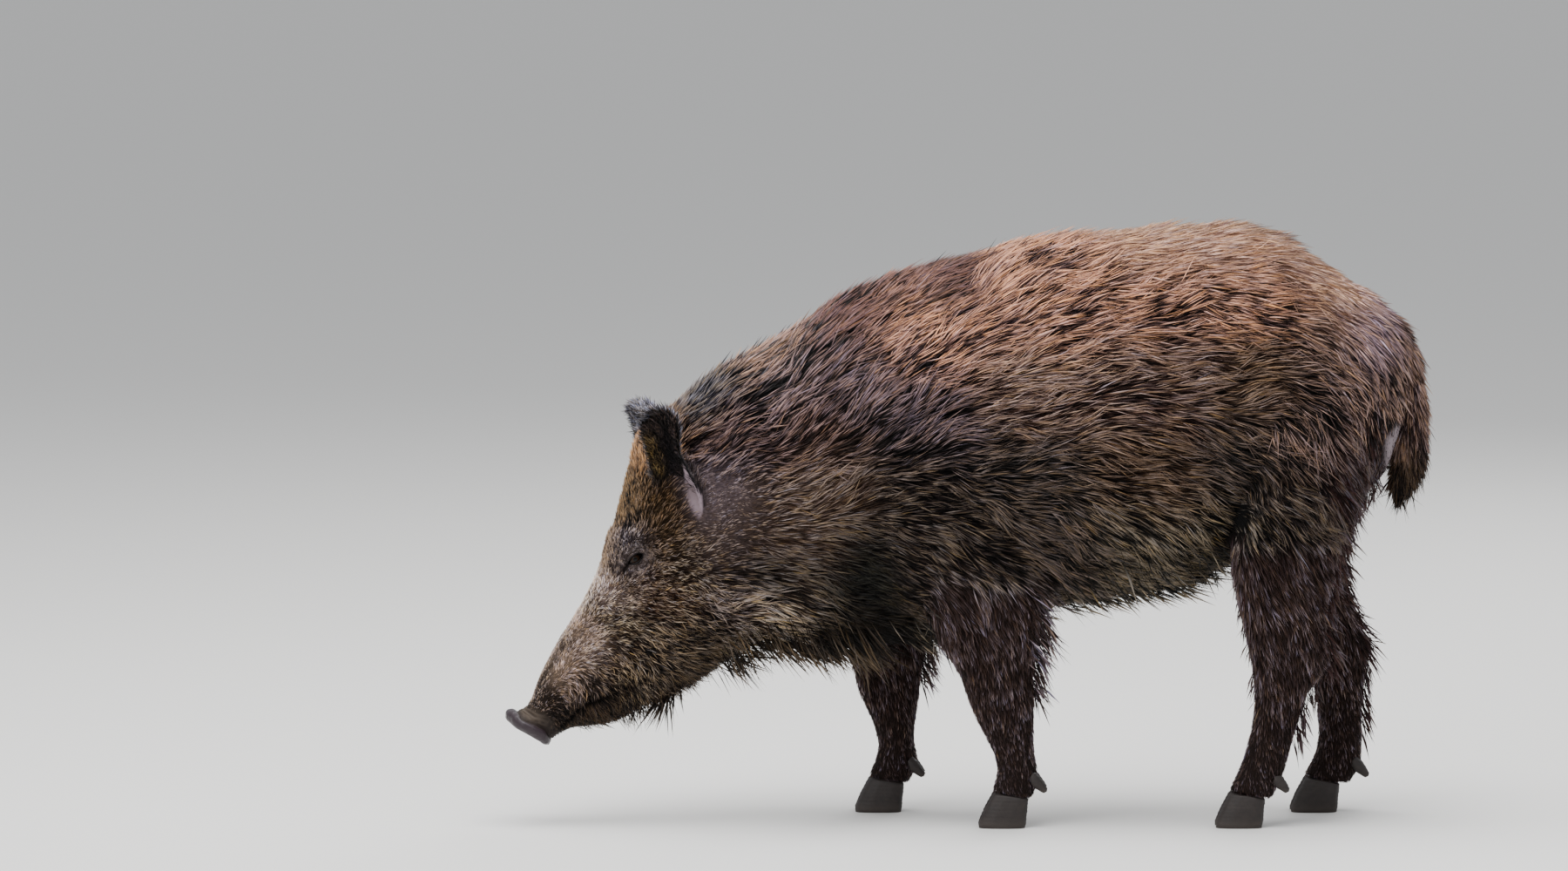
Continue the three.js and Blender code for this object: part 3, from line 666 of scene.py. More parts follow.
def lidded(points, eye, outward):
    """Points round an eye, drawn over it as lids and parted at the slit, and how far from that each is."""
    slit = forward * math.cos(SLIT_SLANT) + above * math.sin(SLIT_SLANT)
    slit = unit(slit - outward * slit.dot(outward))
    across = unit(above - outward * above.dot(outward) - slit * above.dot(slit))
    offset = points - eye
    length, height, out = offset @ slit - SLIT_MIDDLE, offset @ across, offset @ outward
    round_eye = np.hypot(offset @ slit, height)
    near = (round_eye < SOCKET_RADIUS) & (out > -SOCKET_DEPTH)
    arch = np.clip(1 - (length / SLIT_HALF_LENGTH) ** 2, 0, 1) ** 0.75
    past_corner = np.maximum(np.abs(length) - SLIT_HALF_LENGTH, 0)
    beyond = np.where(height > 0, height - SLIT_TOP * arch, -height - SLIT_BOTTOM * arch)
    edge = np.where(past_corner > 0, np.hypot(past_corner, beyond), beyond)
    dome = np.sqrt((EYE_BALL_RADIUS + LID_THICKNESS) ** 2 - np.minimum(round_eye, LID_RADIUS) ** 2)
    around = np.where(round_eye < FULL_RADIUS, np.maximum(out, FULL_DEPTH), out)
    blend = ease(round_eye, *LID_BLEND)
    lid = dome * (1 - blend) + around * blend
    for place, half_width, on_upper, on_lower in LID_FOLDS:
        risen = np.where(height > 0, on_upper, on_lower) * MM
        lid = lid + risen * hump(edge - place * MM, half_width * MM)
    parted = EYE_BALL_RADIUS - PARTED_DEPTH
    settled = parted + (lid - parted) * ease(edge, -0.8 * MM, 0.3 * MM)
    moved = points + outward * (settled - out)[:, None]
    return np.where(near[:, None], moved, points), np.where(near, edge, 1.0)


skin_points = corners_of(skin.data)
slit_distance = np.full(len(skin_points), 1.0)
for side_name, sign in (("left", 1), ("right", -1)):
    skin_points, edge = lidded(skin_points, eyes[side_name], sideways * sign)
    slit_distance = np.minimum(slit_distance, edge)
    offset = skin_points - eyes[side_name]
    close = 1 - ease(np.linalg.norm(offset, axis=1), 15 * MM, 24 * MM)[:, None]
    skin_lie += close * (unit(offset) - skin_lie)  # the hair parts round the eye
skin_growth[:, 2:4] *= 0.35 + 0.65 * ease(slit_distance, 2 * MM, 14 * MM)[:, None]
eye_zone = 1 - ease(slit_distance, 7 * MM, 20 * MM)
skin_facings = facings_after(skin_points)

snout_end = on_face | on_disc
pushed = DISC_FORWARD * MM * ease(on_head(skin_points)[:, 0], 218, 240) * snout_end
skin_points = skin_points + forward * pushed[:, None]
ahead, over, aside = on_head(skin_points).T
face = on_face & ((np.abs(aside) > 12) | (ahead < 0))
lift, fold_shade_and_dark_skin = np.zeros(len(skin_points)), np.zeros(len(skin_points))
for name, path, half_width, height, dark in FACE_FORMS:
    distance, place = off_path(ahead, over, path)
    fading = 1 if "tusk" in name or "pad" in name else within(place, -0.02, 0.12, 0.88, 1.02)
    share = hump(distance, half_width) * face * (0.25 + 0.75 * fading)
    lift += height * share
    fold_shade_and_dark_skin = np.maximum(fold_shade_and_dark_skin, dark * hump(distance, half_width * 1.3) * face)
to_rim = np.interp(over, *zip(*RIM_EDGE)) - ahead
lift += snout_end * BRIDGE_GAIN * hump(to_rim - 8, 9) * ease(over, 0, 24)
lift -= snout_end * RIM_GROOVE * hump(to_rim - 1.5, 2.0)
lift += snout_end * DISC_RIM * hump(to_rim + 7, 5)
wrinkled = snout_end * within(to_rim, 2, 5, 20, 32) * ease(over, -34, -22)
wavy = to_rim + 1.8 * np.sin(over * 0.21 + 1) + 1.4 * np.sin(aside * 0.17 + over * 0.09)
crossing = np.sin(over * 0.62 + aside * 0.45 + 1.5 * np.sin(to_rim * 0.5))
creases = np.sin(wavy * 1.1) * (0.6 + 0.4 * crossing)
lift += wrinkled * (0.9 * creases - 0.35 * np.maximum(crossing, 0))
# Painted shade in the creases of the wrinkles, and below in the groove behind the rim.
fold_shade_and_dark_skin = np.maximum(fold_shade_and_dark_skin, wrinkled * 0.5 * ease(-creases, 0.1, 0.9))
fold_shade_and_dark_skin = np.maximum(fold_shade_and_dark_skin, snout_end * 0.75 * hump(to_rim - 1.5, 2.2))
_, disc_over, disc_aside = on_head(middle_of("snout_disc"))
from_middle = np.hypot(over - disc_over, aside - disc_aside)
front = on_disc * ease(skin_facings @ forward, 0.3, 0.8)
lift += front * (DISC_RIM * hump(from_middle - 29, 4) - DISC_HOLLOW * hump(from_middle, 17))
skin_points = skin_points + skin_facings * (lift * MM)[:, None]
skin_facings = facings_after(skin_points)

eye_rim = 1 - ease(slit_distance, 1.8 * MM, 3.6 * MM)
tear_line, _ = off_path(ahead, over, FACE_FORMS[0][1])
tear_line = on_face * (np.abs(aside) > 25) * (1 - ease(tear_line, 1.6, 3.6))
eye_rim = np.maximum(eye_rim, tear_line)
lash_line = np.maximum(1 - ease(slit_distance, 0.8 * MM, 2.8 * MM), tear_line)
near_disc = snout_end * within(to_rim, -1.0, 1.0, 8, 26)
rim = snout_end * (1 - ease(to_rim, -1.0, 1.0))
low_side = 1 - ease(over, -22, 14)
hollow_height, *hollow_edges = np.array(EAR_HOLLOW, dtype=float).T
front_edge, rear_edge = (np.interp(z_mm, hollow_height, edge) for edge in hollow_edges)
inner_ear = (on_ear | on_face | on_body) & (np.abs(y_mm) > 60)
inner_ear = inner_ear * within(x_mm, front_edge - 3, front_edge + 1, rear_edge - 2, rear_edge + 2)
inner_ear *= within(z_mm, 396, 404, 464, 478)
inner_ear *= ease(skin_facings @ sideways * np.sign(aside), -0.25, 0.1)


def out_of(patch, across, up):
    """How far out in a patch places lie: 0 in its middle and 1 on its edge."""
    (middle, half), (middle_up, half_up) = patch
    return np.hypot((across - middle) / half, (up - middle_up) / half_up)


patch_place = out_of(EAR_PATCH, x_mm, z_mm) + 0.12 * np.sin(x_mm * 0.11) * np.sin(z_mm * 0.13 + 1)
ear_patch = (on_body | on_face) * (1 - ease(patch_place, 0.35, 1.2)) * (np.abs(y_mm) > 40)
patch_place = out_of(BUTTOCK_PATCH, np.abs(y_mm), z_mm) + 0.06 * np.sin(y_mm * 0.23 + z_mm * 0.17)
bare_buttock = on_body * ease(x_mm, 524, 534) * (1 - ease(patch_place, 0.72, 1.12))
short_buttock = on_body * ease(x_mm, 508, 530) * within(z_mm, 430, 455, 520, 560)
skin_growth[:, 2:4] *= (1 - 0.65 * short_buttock - 0.15 * bare_buttock)[:, None]
spine = 0.55 * spread(on_body * ease(skin_facings[:, 2], 0.93, 0.995), skin_edges, 6)
skin_growth[:, 4:] += spine[:, None] * (growth(0, 0, 0, "spine")[4:] - skin_growth[:, 4:])
skin_tint = skin_growth[:, 4:7].copy()
for colour, share in (
    ("7a6b66", 0.9 * eye_zone),
    ("4a4037", near_disc),
    ("211a17", near_disc * low_side),
    ("2c2227", rim),
    ("4c4950", 0.8 * on_far_ear * ease(skin_facings @ sideways, -0.1, 0.4)),
    ("1e1719", 0.9 * eye_rim),
    ("0b0808", lash_line),
    ("8a7a82", inner_ear),
    ("6a5b5d", 0.85 * ear_patch),
    ("857a7f", bare_buttock),
    # painted shade in the folds, creases and the mouth, and darker skin on the lips
    ("1c1413", np.clip(fold_shade_and_dark_skin * 1.1, 0, 0.9)),
):
    skin_tint += (linear(colour) - skin_tint) * np.asarray(share)[:, None]
skin_bare = np.clip(rim + eye_rim + near_disc + inner_ear + bare_buttock + 0.5 * ear_patch, 0, 1)
skin_bare = spread(skin_bare, skin_edges, 2)
# The hair there is darkened too: painted shade in the folds and creases, and darker lips.
skin_growth[:, 4:] *= (1 - 0.75 * np.clip(fold_shade_and_dark_skin, 0, 1))[:, None]


def keep_values(mesh, name, kind, values):
    """Values for a mesh's corners, kept under a name that materials can read."""
    kept = mesh.attributes.new(name, kind, "POINT")
    field = "color" if kind == "FLOAT_COLOR" else "value"
    kept.data.foreach_set(field, np.ascontiguousarray(values, dtype=np.float32).ravel())


def opaque(colours):
    return np.concatenate([colours, np.ones((len(colours), 1))], axis=1)


keep_values(skin.data, "tint", "FLOAT_COLOR", opaque(skin_tint))
keep_values(skin.data, "bare", "FLOAT", skin_bare)
keep_values(skin.data, "wet", "FLOAT", np.clip(rim + 1 - ease(slit_distance, 0, 1 * MM), 0, 1))

# ---- Eyeballs ------------------------------------------------------------------------------------
# Small wet dark-brown eyes with a black pupil. Each sits loose in its socket under the lids, with the clear
# cornea as a low dome on the ball.

CORNEA_RADIUS, CORNEA_RISE = 7.5 * MM, 0.5 * MM
BALL_SHARE = 0.96  # the ball is this much smaller than the socket
IRIS = [  # from the eye's axis to the white, in shares of the ball's radius
    (0.0, (0.002, 0.002, 0.002)),
    (0.24, (0.002, 0.002, 0.002)),
    (0.28, (0.017, 0.008, 0.004)),
    (0.50, (0.012, 0.006, 0.003)),
    (0.58, (0.004, 0.003, 0.003)),
    (1.0, (0.012, 0.008, 0.007)),
]

eye_gloss, eye_inputs, wire = new_material("wet_eye", Roughness=0.1, Specular_IOR_Level=0.14)
streaked = wire.attribute("from_axis") + wire.noise(900, 2) * 0.05
feed(wire.node("ShaderNodeValToRGB", {"stops": IRIS}, {"Fac": streaked}), eye_inputs["Base Color"])
for side_name, sign in (("left", 1), ("right", -1)):
    ball = bmesh.new()
    bmesh.ops.create_uvsphere(ball, u_segments=40, v_segments=28, radius=EYE_BALL_RADIUS * BALL_SHARE)
    turn = Vector((0, 0, 1)).rotation_difference(Vector(sideways * sign))
    distances = []
    for corner in ball.verts:
        off_axis = math.hypot(corner.co.x, corner.co.y)
        if corner.co.z > 0 and off_axis < CORNEA_RADIUS:
            corner.co.z += CORNEA_RISE * (1 - (off_axis / CORNEA_RADIUS) ** 2)
        distances.append(off_axis / EYE_BALL_RADIUS if corner.co.z > 0 else 1.0)
        corner.co = turn @ corner.co
    ball_mesh = bpy.data.meshes.new(f"eyeball_{side_name}")
    ball.to_mesh(ball_mesh)
    ball.free()
    cover(ball_mesh, eye_gloss)
    keep_values(ball_mesh, "from_axis", "FLOAT", np.array(distances))
    ball_mesh.transform(Matrix.Translation(Vector(eyes[side_name])))
    eyeball = placed(f"eyeball_{side_name}", ball_mesh)
    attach(eyeball, "root")
    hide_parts(f"eye_{side_name}")

# ---- Hooves and dewclaws -------------------------------------------------------------------------
# Each foot stands on two claws of dark worn horn, with two short dewclaws behind. The horn grows down from
# the coronet in low rings, and its toe and edges are scuffed paler.

HORN_GRAIN = 1.8 * MM
RING_SPACING = 5.0 * MM
RING_HEIGHT = 0.25 * MM
SOLE_WEAR = 3 * MM  # the lowest part of a hoof is worn flat

horn, horn_inputs, wire = new_material("horn", Specular_IOR_Level=0.3)
horn_noise = wire.noise(160, 4)
low = wire.attribute("low")
horn_colour = wire.mix(horn_noise, (0.010, 0.008, 0.008, 1), (0.036, 0.028, 0.025, 1))
feed(wire.mix(low * 0.35, horn_colour, (0.075, 0.060, 0.050, 1)), horn_inputs["Base Color"])
feed(0.42 + horn_noise * 0.3, horn_inputs["Roughness"])
feed(wire.bump(wire.noise(700, 3), 0.0004), horn_inputs["Normal"])
for name in [n for n in sorted(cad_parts) if "hoof" in n or "claw" in n]:
    claw = remeshed(f"horn_{name}", *joined_nodes([name], 0.0)[:2], HORN_GRAIN)
    claw_edges = edges_of(claw.data)
    claw_points = spread(corners_of(claw.data), claw_edges, 6)
    low_corner, high_corner = (np.array(corner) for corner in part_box(name))
    if "hoof" in name:
        claw_points[claw_points[:, 2] < low_corner[2] + SOLE_WEAR, 2] = low_corner[2]
    set_corners(claw.data, claw_points)
    level = (claw_points[:, 2] - low_corner[2]) / (high_corner[2] - low_corner[2])
    ring = np.sin(claw_points[:, 2] / RING_SPACING * 2 * math.pi) * RING_HEIGHT * ease(level, 0.1, 0.25)
    set_corners(claw.data, claw_points + facings_of(claw.data) * ring[:, None])
    keep_values(claw.data, "low", "FLOAT", 1 - ease(level, 0.0, 0.35))
    cover(claw.data, horn)
    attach(claw, "root")
    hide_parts(name)

# ---- Coat of the body ----------------------------------------------------------------------------
# Coarse bristles over underwool, from the nape to the tail. They grow in small locks whose tips run together,
# lie back along the body in waves, and are dark at the root and frosted with tan at the tip.

BEND_PLACE = 0.55  # a lock bends and is widest at this share of its length
ROOT_DEPTH = 1.0 * MM  # how far a lock starts below the skin
MOST_PULL = 5 * MM  # how far a tip may be drawn to those of its tuft
LEAST_HEIGHT = 1 * MM  # over the floor
LIGHTENED = 0.2, 0.7, 0.7, 1.3  # at a lock's root, bend and tip
GOLDEN = 0.4, 0.0, -1.0  # what a warmer lock gains of red, green and blue
LOCK_FACES = np.array([(0, 2, 1), (3, 1, 2), (0, 1, 3), (0, 3, 2)])
PATCH = 0.0015  # half of a lock's place on the coat's map

chance = np.random.default_rng(4711)
skin_triangles = triangles_of(skin.data)
first, second, third = (skin_points[skin_triangles[:, i]] for i in range(3))
triangle_area = np.linalg.norm(np.cross(second - first, third - first), axis=1) / 2
coat_facings = unit(spread(skin_facings, skin_edges, 5, np.where(on_ear | on_face, 0.25, 0.5)))
skin_lie = along_surface(spread(skin_lie, skin_edges, 8), coat_facings)


def nearest_of(points, places):
    """For each place, the number of the nearest point."""
    lookup = KDTree(len(points))
    for number, point in enumerate(points.tolist()):
        lookup.insert(point, number)
    lookup.balance()
    return np.array([lookup.find(place)[1] for place in places.tolist()])


LOTS = chance.normal(size=(128, 128, 128)).astype(np.float32)


def lots_at(points, cell):
    """A smooth random value in space, mostly between -1.5 and 1.5, in cells of a size in mm."""
    places = points / (cell * MM)
    low = np.floor(places).astype(int)
    shares = ease(places - low, 0, 1)
    total = 0
    for corner in np.ndindex(2, 2, 2):
        x, y, z = ((low + corner) % 128).T
        total = total + LOTS[x, y, z] * np.prod(np.where(corner, shares, 1 - shares), axis=1)
    return total


def streaks_at(points, lie, width, length):
    """A random value, mostly between -2 and 2, in streaks along the hair, of a width in mm and a length."""
    steps = np.linspace(-0.5, 0.5, 9)
    total = sum(lots_at(points + lie * (step * length)[:, None], width) for step in steps)
    return total / 1.6


def roots_on(density, count):
    """Evenly strewn places on the skin, as three corners and their shares, by the density at the corners."""
    weight = triangle_area * density[skin_triangles].mean(axis=1)
    total = np.cumsum(weight)
    marks = (np.arange(count) + chance.random(count)) / count * total[-1]
    chosen = np.minimum(np.searchsorted(total, marks), len(total) - 1)
    one, two = chance.random((2, count))
    flipped = one + two > 1
    one, two = np.where(flipped, 1 - one, one), np.where(flipped, 1 - two, two)
    return skin_triangles[chosen], np.stack([1 - one - two, one, two], axis=1)


def at_roots(values, corners, shares):
    return np.einsum("nk,nkc->nc", shares, values[corners])


def chart_of(start, end, low=0.01, high=0.99):
    """The map of a coat, as a function of places: along an axis, and round it from a low to a high edge."""
    start, end = np.array(start), np.array(end)
    axis = unit(end - start)
    across = unit(np.cross(axis, (0.0, 1.0, 0.0)))

    def charted(points):
        offset = points - start
        along = offset @ axis / np.linalg.norm(end - start)
        round_axis = np.arctan2(offset @ np.cross(axis, across), offset @ across) / (2 * math.pi) + 0.5
        return np.stack([0.01 + 0.98 * np.clip(along, 0, 1), low + (high - low) * round_axis], axis=1)

    return charted


def chart_of_two(middle, left, right):
    """A map with two axes, each given by its ends: one for places left of the middle and one for the rest."""
    lower, upper = chart_of(*left, 0.01, 0.49), chart_of(*right, 0.51, 0.99)
    return lambda points: np.where((points[:, 1] < middle)[:, None], lower(points), upper(points))


def mesh_of_locks(name, points, material):
    """A mesh of many like locks from an array of their corners."""
    count, per_lock = points.shape[:2]
    mesh = bpy.data.meshes.new(name)
    triangles = (np.arange(count)[:, None, None] * per_lock + LOCK_FACES).reshape(-1, 3)
    mesh.vertices.add(count * per_lock)
    mesh.vertices.foreach_set("co", points.astype(np.float32).ravel())
    mesh.loops.add(triangles.size)
    mesh.loops.foreach_set("vertex_index", triangles.astype(np.int32).ravel())
    mesh.polygons.add(len(triangles))
    mesh.polygons.foreach_set("loop_start", np.arange(0, triangles.size, 3, dtype=np.int32))
    mesh.update(calc_edges=True)
    cover(mesh, material)
    return placed(name, mesh)


def grow(name, density, count, chart, width, fields=None, lock=3, pull=0.14, wave=0.3, stray=0.05,
         stand=1.0, stretch=1.0, sag=0.0, light=0.0, contrast=1.0, grain=2.5):
    """A piece of the coat: closed, pointed locks on the skin, drawn together in narrow tufts."""
    lie_field, growth_field = fields or (skin_lie, skin_growth)
    corners, shares = roots_on(density, count)
    root = at_roots(skin_points, corners, shares)
    facing = unit(at_roots(coat_facings, corners, shares))
    values = at_roots(growth_field, corners, shares)
    lying = along_surface(at_roots(lie_field, corners, shares), facing)
    length, depth, dark, pale = values[:, 2], values[:, 3], values[:, 4:7], values[:, 7:10]
    streak = 0.85 * streaks_at(root, lying, grain, 0.95 * length)
    streak += 0.2 * streaks_at(root, lying, 3.3 * grain, 1.4 * length)

    leaders = np.flatnonzero(chance.random(count) < 1 / lock)
    leader = leaders[nearest_of(root[leaders], root)]
    own, of_tuft = chance.normal(size=(2, count, 6))
    of_tuft = of_tuft[leader]

    turn = wave * (0.8 * lots_at(root, 26) + 0.4 * lots_at(root, 9))
    turn += 0.04 * of_tuft[:, 0] + stray * own[:, 0]
    side = np.cross(facing, lying)
    lying = lying * np.cos(turn)[:, None] + side * np.sin(turn)[:, None]
    side = np.cross(facing, lying)
    length = length * stretch * np.clip(1 + 0.14 * of_tuft[:, 1] + 0.2 * own[:, 1], 0.45, 1.7)
    high = 0.16 * streak + 0.04 * of_tuft[:, 2] + 0.2 * own[:, 2]
    height = np.minimum(depth * stand * np.clip(0.78 + high, 0.15, 1.35), length * 0.85)
    reach = np.sqrt(np.maximum(length**2 - height**2, (0.3 * length) ** 2))
    curl = 0.012 * length * (own[:, 3] + of_tuft[:, 3])
    middle = root + lying * (BEND_PLACE * reach)[:, None] + facing * (0.66 * height)[:, None]
    middle += side * (0.6 * curl)[:, None]
    tip = root + lying * reach[:, None] + facing * height[:, None] - side * (0.4 * curl)[:, None]
    tip[:, 2] -= sag * length
    middle[:, 2] -= 0.3 * sag * length
    for points, share in ((middle, 0.5 * pull), (tip, pull)):
        apart = points[leader] - points
        apart -= 0.8 * lying * np.sum(apart * lying, axis=1, keepdims=True)
        apart *= np.minimum(1, MOST_PULL / np.maximum(np.linalg.norm(apart, axis=1, keepdims=True), 1e-6))
        points += share * apart
    root = root - facing * ROOT_DEPTH

    roll = 0.5 * own[:, 4]
    flat = side * np.cos(roll)[:, None] + facing * np.sin(roll)[:, None]
    stood = np.cross(lying, flat)
    stood *= np.sign(np.sum(stood * facing, axis=1, keepdims=True))
    chord = root + BEND_PLACE * (tip - root)
    raised = np.sum((middle - chord) * stood, axis=1)
    middle += stood * (np.clip(raised, 0.012 * length + 0.2 * MM, 0.03 * length + 0.3 * MM) - raised)[:, None]
    half = 0.5 * width * MM * np.clip(1 + 0.3 * own[:, 1], 0.5, 1.7) * np.clip(length / (15 * MM), 0.5, 1)
    points = np.stack([root, middle + flat * half[:, None], middle - flat * half[:, None], tip], axis=1)
    points[:, :, 2] = np.maximum(points[:, :, 2], LEAST_HEIGHT)
    made = mesh_of_locks(name, points, bristle)

    # From the dark to the light colour, lightest at the tip. The higher a lock stands, the lighter: painted
    # light on the raised locks and painted shade on the low ones, partly in random streaks and tufts of real
    # tone.
    share = 0.32 + light + contrast * (0.3 * streak + 0.22 * of_tuft[:, 4] + 0.3 * own[:, 2])
    share = np.clip(share[:, None] * LIGHTENED, -0.3, 1.05)[:, :, None]
    colour = np.exp((1 - share) * np.log(dark + 1e-4)[:, None] + share * np.log(pale + 1e-4)[:, None])
    golden = 0.1 * (own[:, 5] + of_tuft[:, 5])[:, None, None]
    colour = colour * (1 + golden * GOLDEN)
    keep_values(made.data, "tint", "FLOAT_COLOR", opaque(np.clip(colour, 0, 1).reshape(-1, 3)))
    keep_values(made.data, "lie", "FLOAT", np.tile([0, BEND_PLACE, BEND_PLACE, 1.0], count))
    shifts = np.array([(0, -PATCH), (-PATCH, 0), (PATCH, 0), (0, PATCH)])
    map_corners = (chart(root)[:, None, :] + shifts)[:, LOCK_FACES.ravel(), :]
    coat_map = made.data.uv_layers.new(name="OFBake")
    coat_map.data.foreach_set("uv", np.clip(map_corners, 0.001, 0.999).astype(np.float32).ravel())
    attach(made, "root")


bristle, bristle_inputs, wire = new_material("bristle", Specular_IOR_Level=0.15)
along_lock = wire.attribute("lie")
shade = (0.35 + along_lock * 0.75) * (0.8 + wire.noise(300, 2) * 0.4)
feed(wire.attribute("tint", "Color").scaled(shade), bristle_inputs["Base Color"])
feed(0.62 - along_lock * 0.15, bristle_inputs["Roughness"])

AMIDSHIPS = 0.09  # the coat's front and rear pieces meet here
MAP_LINE = [(-0.38, 0, 0.46), (AMIDSHIPS, 0, 0.50), (0.57, 0, 0.54)]  # their maps lie round this line
BODY_WAVE, BODY_CONTRAST = 0.42, 1.6
body_density = on_body * (1 - 0.8 * bare_buttock) * (1 - inner_ear) * (1 + 1.5 * ear_patch)
for side_name, sign, edges in (("left", -1, (-0.98, 0.99)), ("right", 1, (0.01, 1.98))):
    for end_name, ahead_of in (("front", True), ("rear", False)):
        here = (skin_points[:, 1] * sign > 0) & ((skin_points[:, 0] < AMIDSHIPS) == ahead_of)
        chart = chart_of(*(MAP_LINE[:2] if ahead_of else MAP_LINE[1:]), *edges)
        grow(f"coat_{end_name}_{side_name}", body_density * here, 38000, chart, 1.05,
             wave=BODY_WAVE, contrast=BODY_CONTRAST)
        long_hair = ease(skin_growth[:, 2], 10 * MM, 24 * MM)
        grow(f"bristles_{end_name}_{side_name}", body_density * here * long_hair, 12000, chart, 0.9,
             lock=1, wave=BODY_WAVE, stray=0.14, stand=1.15, stretch=1.25, light=0.15, contrast=BODY_CONTRAST)

# ---- Coat of the head ----------------------------------------------------------------------------
# Short stiff hair that runs back from the snout, longest on the jowl and the beard, and bare on the disc,
# the lids and the nostrils.

head_density = on_face * (1 - np.clip(skin_bare * 1.1, 0, 1)) * (1 + 0.8 * (skin_growth[:, 2] < 12 * MM))
head_density *= 1 + 2.5 * eye_zone
head_chart = chart_of(between_eyes + forward * 0.25, between_eyes - forward * 0.24)
long_hair = ease(skin_growth[:, 2], 6 * MM, 10 * MM)
for side_name, sign in (("left", -1), ("right", 1)):
    half = head_density * (skin_points[:, 1] * sign > between_eyes[1] * sign)
    grow(f"coat_head_{side_name}", half, 33000, head_chart, 0.7,
         lock=4, wave=0.25, stray=0.26, stand=1.1, stretch=0.85, light=-0.1, contrast=1.6, grain=1.3)
    grow(f"bristles_head_{side_name}", half * (1 - eye_zone) * long_hair, 5000, head_chart, 0.95,
         lock=1, wave=0.3, stray=0.4, stand=1.3, stretch=0.95, light=0.32, contrast=1.3, grain=1.3)

# ---- Coat of the legs ----------------------------------------------------------------------------
# Short blackish hair, pointing down and back, finest on the feet, where it hangs over the coronets.

LEG_TOP, LEG_FOOT = 0.42, 0.03

for leg_pair, mine, count in (("fore", on_fore, 20000), ("hind", on_hind, 26000)):
    shins = [middle_of(f"{leg_pair}_{side}_cannon") for side in ("left", "right")]
    leg_chart = chart_of_two(0, *([(x, y, LEG_TOP), (x, y, LEG_FOOT)] for x, y, _ in shins))
    grow(f"coat_{leg_pair}legs", mine * 1.0, count, leg_chart, 0.9,
         wave=0.2, stray=0.1, light=0.05, contrast=0.45)

# ---- Coat of the ears and the tail ---------------------------------------------------------------
# Dark hair that stands past the rims and tips of the ears, grey on the side that faces the other ear, and a
# tail with a dark tuft at its end.

# For each ear: how much longer its hair is at the tip, and between which ways of facing it turns grey.
EARS = ("left", on_left_ear, 0.9, (-0.1, 0.4)), ("right", on_far_ear, 0.3, (-0.5, 0.1))
ear_growth = skin_growth.copy()
for ear, mine, tip_gain, grey_from in EARS:
    base, tip = ear_ends[ear]
    ear_points = skin_points[mine]
    plane = np.linalg.svd(ear_points - ear_points.mean(axis=0), full_matrices=False)[2][2]
    rim = 1 - ease(np.abs(coat_facings[mine] @ plane), 0.35, 0.75)
    height = ease(ear_points @ unit(tip - base) - base @ unit(tip - base), 0.02, 0.11)
    ear_growth[mine, 2] *= 1 + 0.6 * rim + tip_gain * height**2
    ear_growth[mine, 3] *= 1 + 1.4 * rim + 1.2 * height**2
    inward = sideways * (-1 if ear == "left" else 1)
    grey = ease(coat_facings[mine] @ inward, *grey_from) * (0.3 + 0.7 * height)
    x, _, z = (ear_points / MM).T
    olive = hump(off_path(x, z, [(-404, 494), (-394, 453)])[0], 9)
    black = hump(off_path(x, z, [(-382, 500), (-374, 461), (-364, 414)])[0], 9)
    for share, tone in ((olive, "ear_olive"), (black, "ear_black"), (grey, "ear_grey")):
        ear_growth[mine, 4:] += share[:, None] * (growth(0, 0, 0, tone)[4:] - ear_growth[mine, 4:])
ear_density = on_ear * (1 - 0.97 * inner_ear) * (1 + 0.8 * on_far_ear + ease(skin_points[:, 2], 0.49, 0.53))
ears_chart = chart_of_two(between_eyes[1], ear_ends["left"], ear_ends["right"])
grow("coat_ears", ear_density, 18000, ears_chart, 0.75, (skin_lie, ear_growth),
     pull=0.1, wave=0.2, stray=0.35, stand=2.0, contrast=0.7)
tail_low, tail_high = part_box("tail")
tail_chart = chart_of((tail_high[0], 0, tail_high[2]), (tail_high[0], 0, tail_low[2]))
grow("coat_tail", on_tail * 1.0, 8000, tail_chart, 1.1, wave=0.15, stray=0.12, stand=1.5)

# ---- Long hair -----------------------------------------------------------------------------------
# Sparse long bristles past the dense coat: the mane on the nape, the beard, fringes under the throat and the
# belly and behind the legs, and the fringe of the tail.

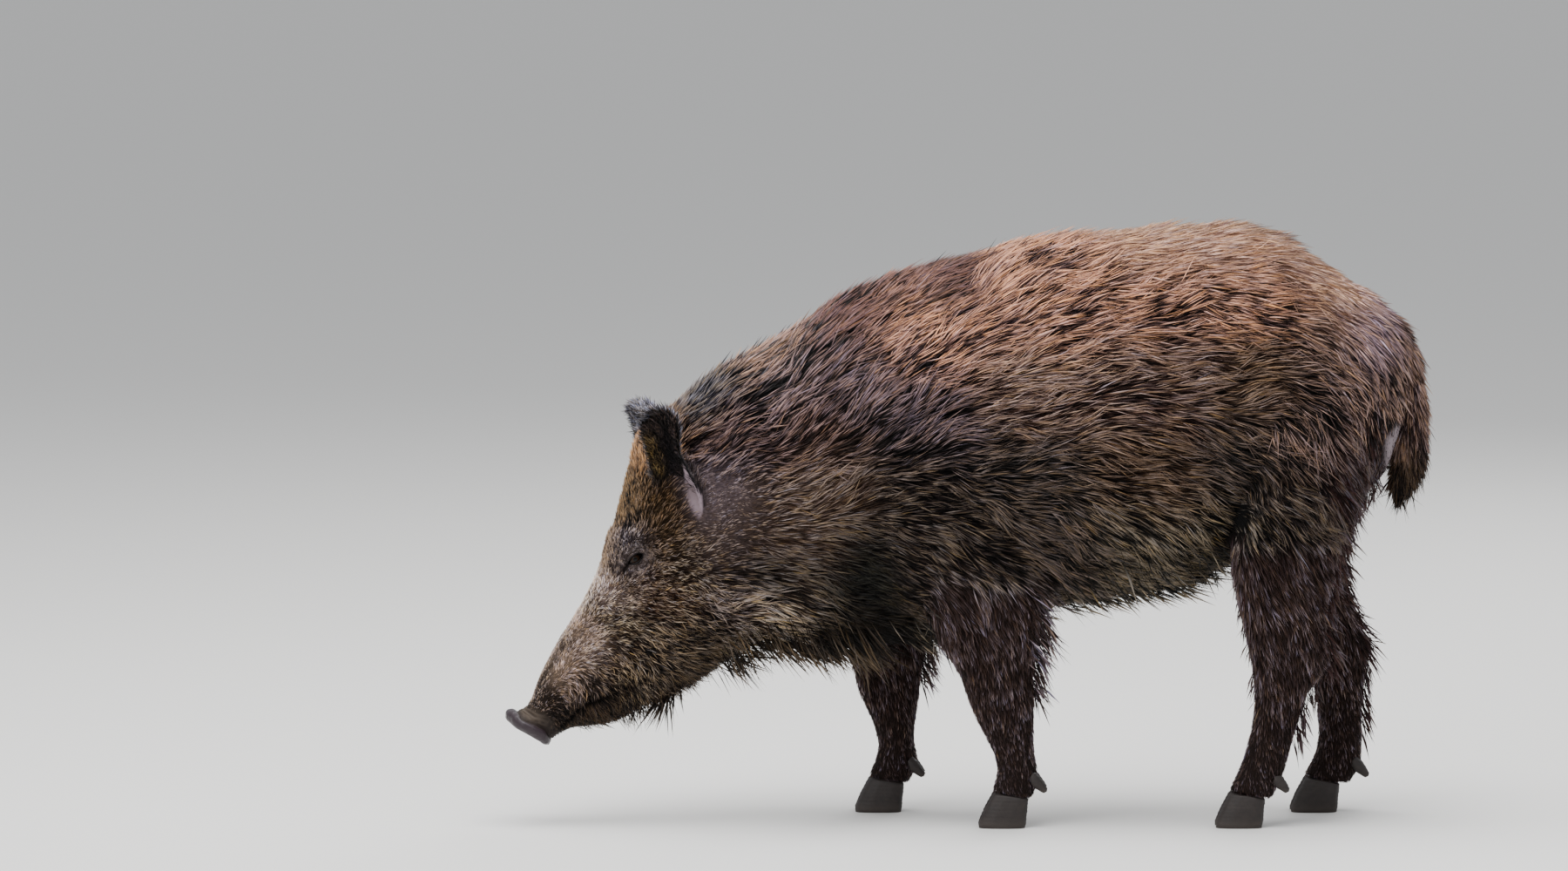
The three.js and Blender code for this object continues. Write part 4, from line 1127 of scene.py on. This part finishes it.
# Name, lowest and highest x and z in mm, the way the skin must face and how closely, the angle of the hair,
# its length, how far it stands off, how many grow on a square centimetre, and the tone.
FRINGES = [
    ("mane", (-400, -180), (520, 680), (0, 0, 1), 0.45, 48, 44, 15, 0.9, "nape"),
    ("withers", (-200, 10), (620, 760), (0, 0, 1), 0.4, 20, 46, 14, 0.6, "back_dark"),
    ("crest", (10, 380), (700, 780), (0, 0, 1), 0.55, 8, 46, 12, 0.3, "back"),
    ("beard", (-406, -350), (140, 205), (-0.5, 0, -1), -0.3, -84, 62, 26, 6.0, "beard"),
    ("jowl", (-430, -300), (215, 300), (0, 0, -1), -1.3, -20, 27, 10, 1.5, "ruff"),
    ("jaw", (-470, -330), (130, 220), (0, 0, -1), -0.05, -60, 34, 15, 4.0, "lip"),
    ("chin", (-520, -450), (110, 170), (0, 0, -1), 0.0, -40, 22, 9, 2.5, "lip"),
    ("throat", (-350, -120), (190, 290), (0, 0, -1), 0.25, -50, 62, 40, 2.6, "throat"),
    ("brisket", (-120, 90), (220, 330), (0, 0, -1), 0.4, -40, 45, 24, 1.0, "belly"),
    ("belly", (90, 340), (270, 400), (0, 0, -1), 0.35, -50, 52, 30, 1.2, "belly"),
    ("behind the fore legs", (-120, 120), (170, 330), (1, 0, 0), 0.35, -40, 46, 26, 2.4, "leg"),
    ("behind the hind legs", (380, 560), (110, 480), (1, 0, 0), 0.35, -50, 40, 20, 1.6, "thigh"),
    ("before the hind legs", (330, 420), (150, 400), (-1, 0, 0), 0.5, -75, 30, 14, 0.6, "thigh"),
    ("rump", (500, 600), (540, 720), (1, 0, 0), 0.35, -62, 42, 17, 0.8, "rump"),
    ("tail", (540, 620), (400, 640), (1, 0, 0), -0.3, -76, 34, 13, 4.0, "rump"),
    ("tail, inner side", (530, 620), (420, 560), (-1, 0, 0), 0.0, -100, 36, 13, 5.0, "lip"),
    ("tail tuft", (530, 620), (400, 520), (0, 0, -1), -1.1, -88, 32, 12, 8.0, "lip"),
]
MOST_LONG_HAIRS = 26000

fringe_density = np.zeros(len(skin_points))
fringe_growth, fringe_lie = skin_growth.copy(), skin_lie.copy()
x_mm, y_mm, z_mm = (skin_points / MM).T
for name, (x_low, x_high), (z_low, z_high), way, least, angle, length, off, per_cm2, tone in FRINGES:
    inside = within(x_mm, x_low, x_low + 25, x_high - 25, x_high)
    inside *= within(z_mm, z_low, z_low + 25, z_high - 25, z_high)
    facing = coat_facings @ unit(np.array(way, dtype=float))
    here = per_cm2 * inside * ease(facing, least, least + 0.3) * ~on_ear
    here = here * (on_tail if "tail" in name else ~on_tail * (1 - short_buttock))
    mine = here > fringe_density
    values = growth(angle, length, off, tone)
    fringe_growth[mine, 2:] = values[2:]
    fringe_lie[mine] = np.array([values[0], 0, values[1]])
    fringe_density = np.maximum(fringe_density, here)
fringe_lie = along_surface(fringe_lie, coat_facings)
fringe_count = int(np.sum(triangle_area * fringe_density[skin_triangles].mean(axis=1)) * 1e4)
fringe_chart = chart_of((-0.6, 0, 0.4), (0.6, 0, 0.5))
grow("long_hair", fringe_density, min(fringe_count, MOST_LONG_HAIRS), fringe_chart, 0.45,
     (fringe_lie, fringe_growth), lock=1, stray=0.22, sag=0.06, light=0.1)
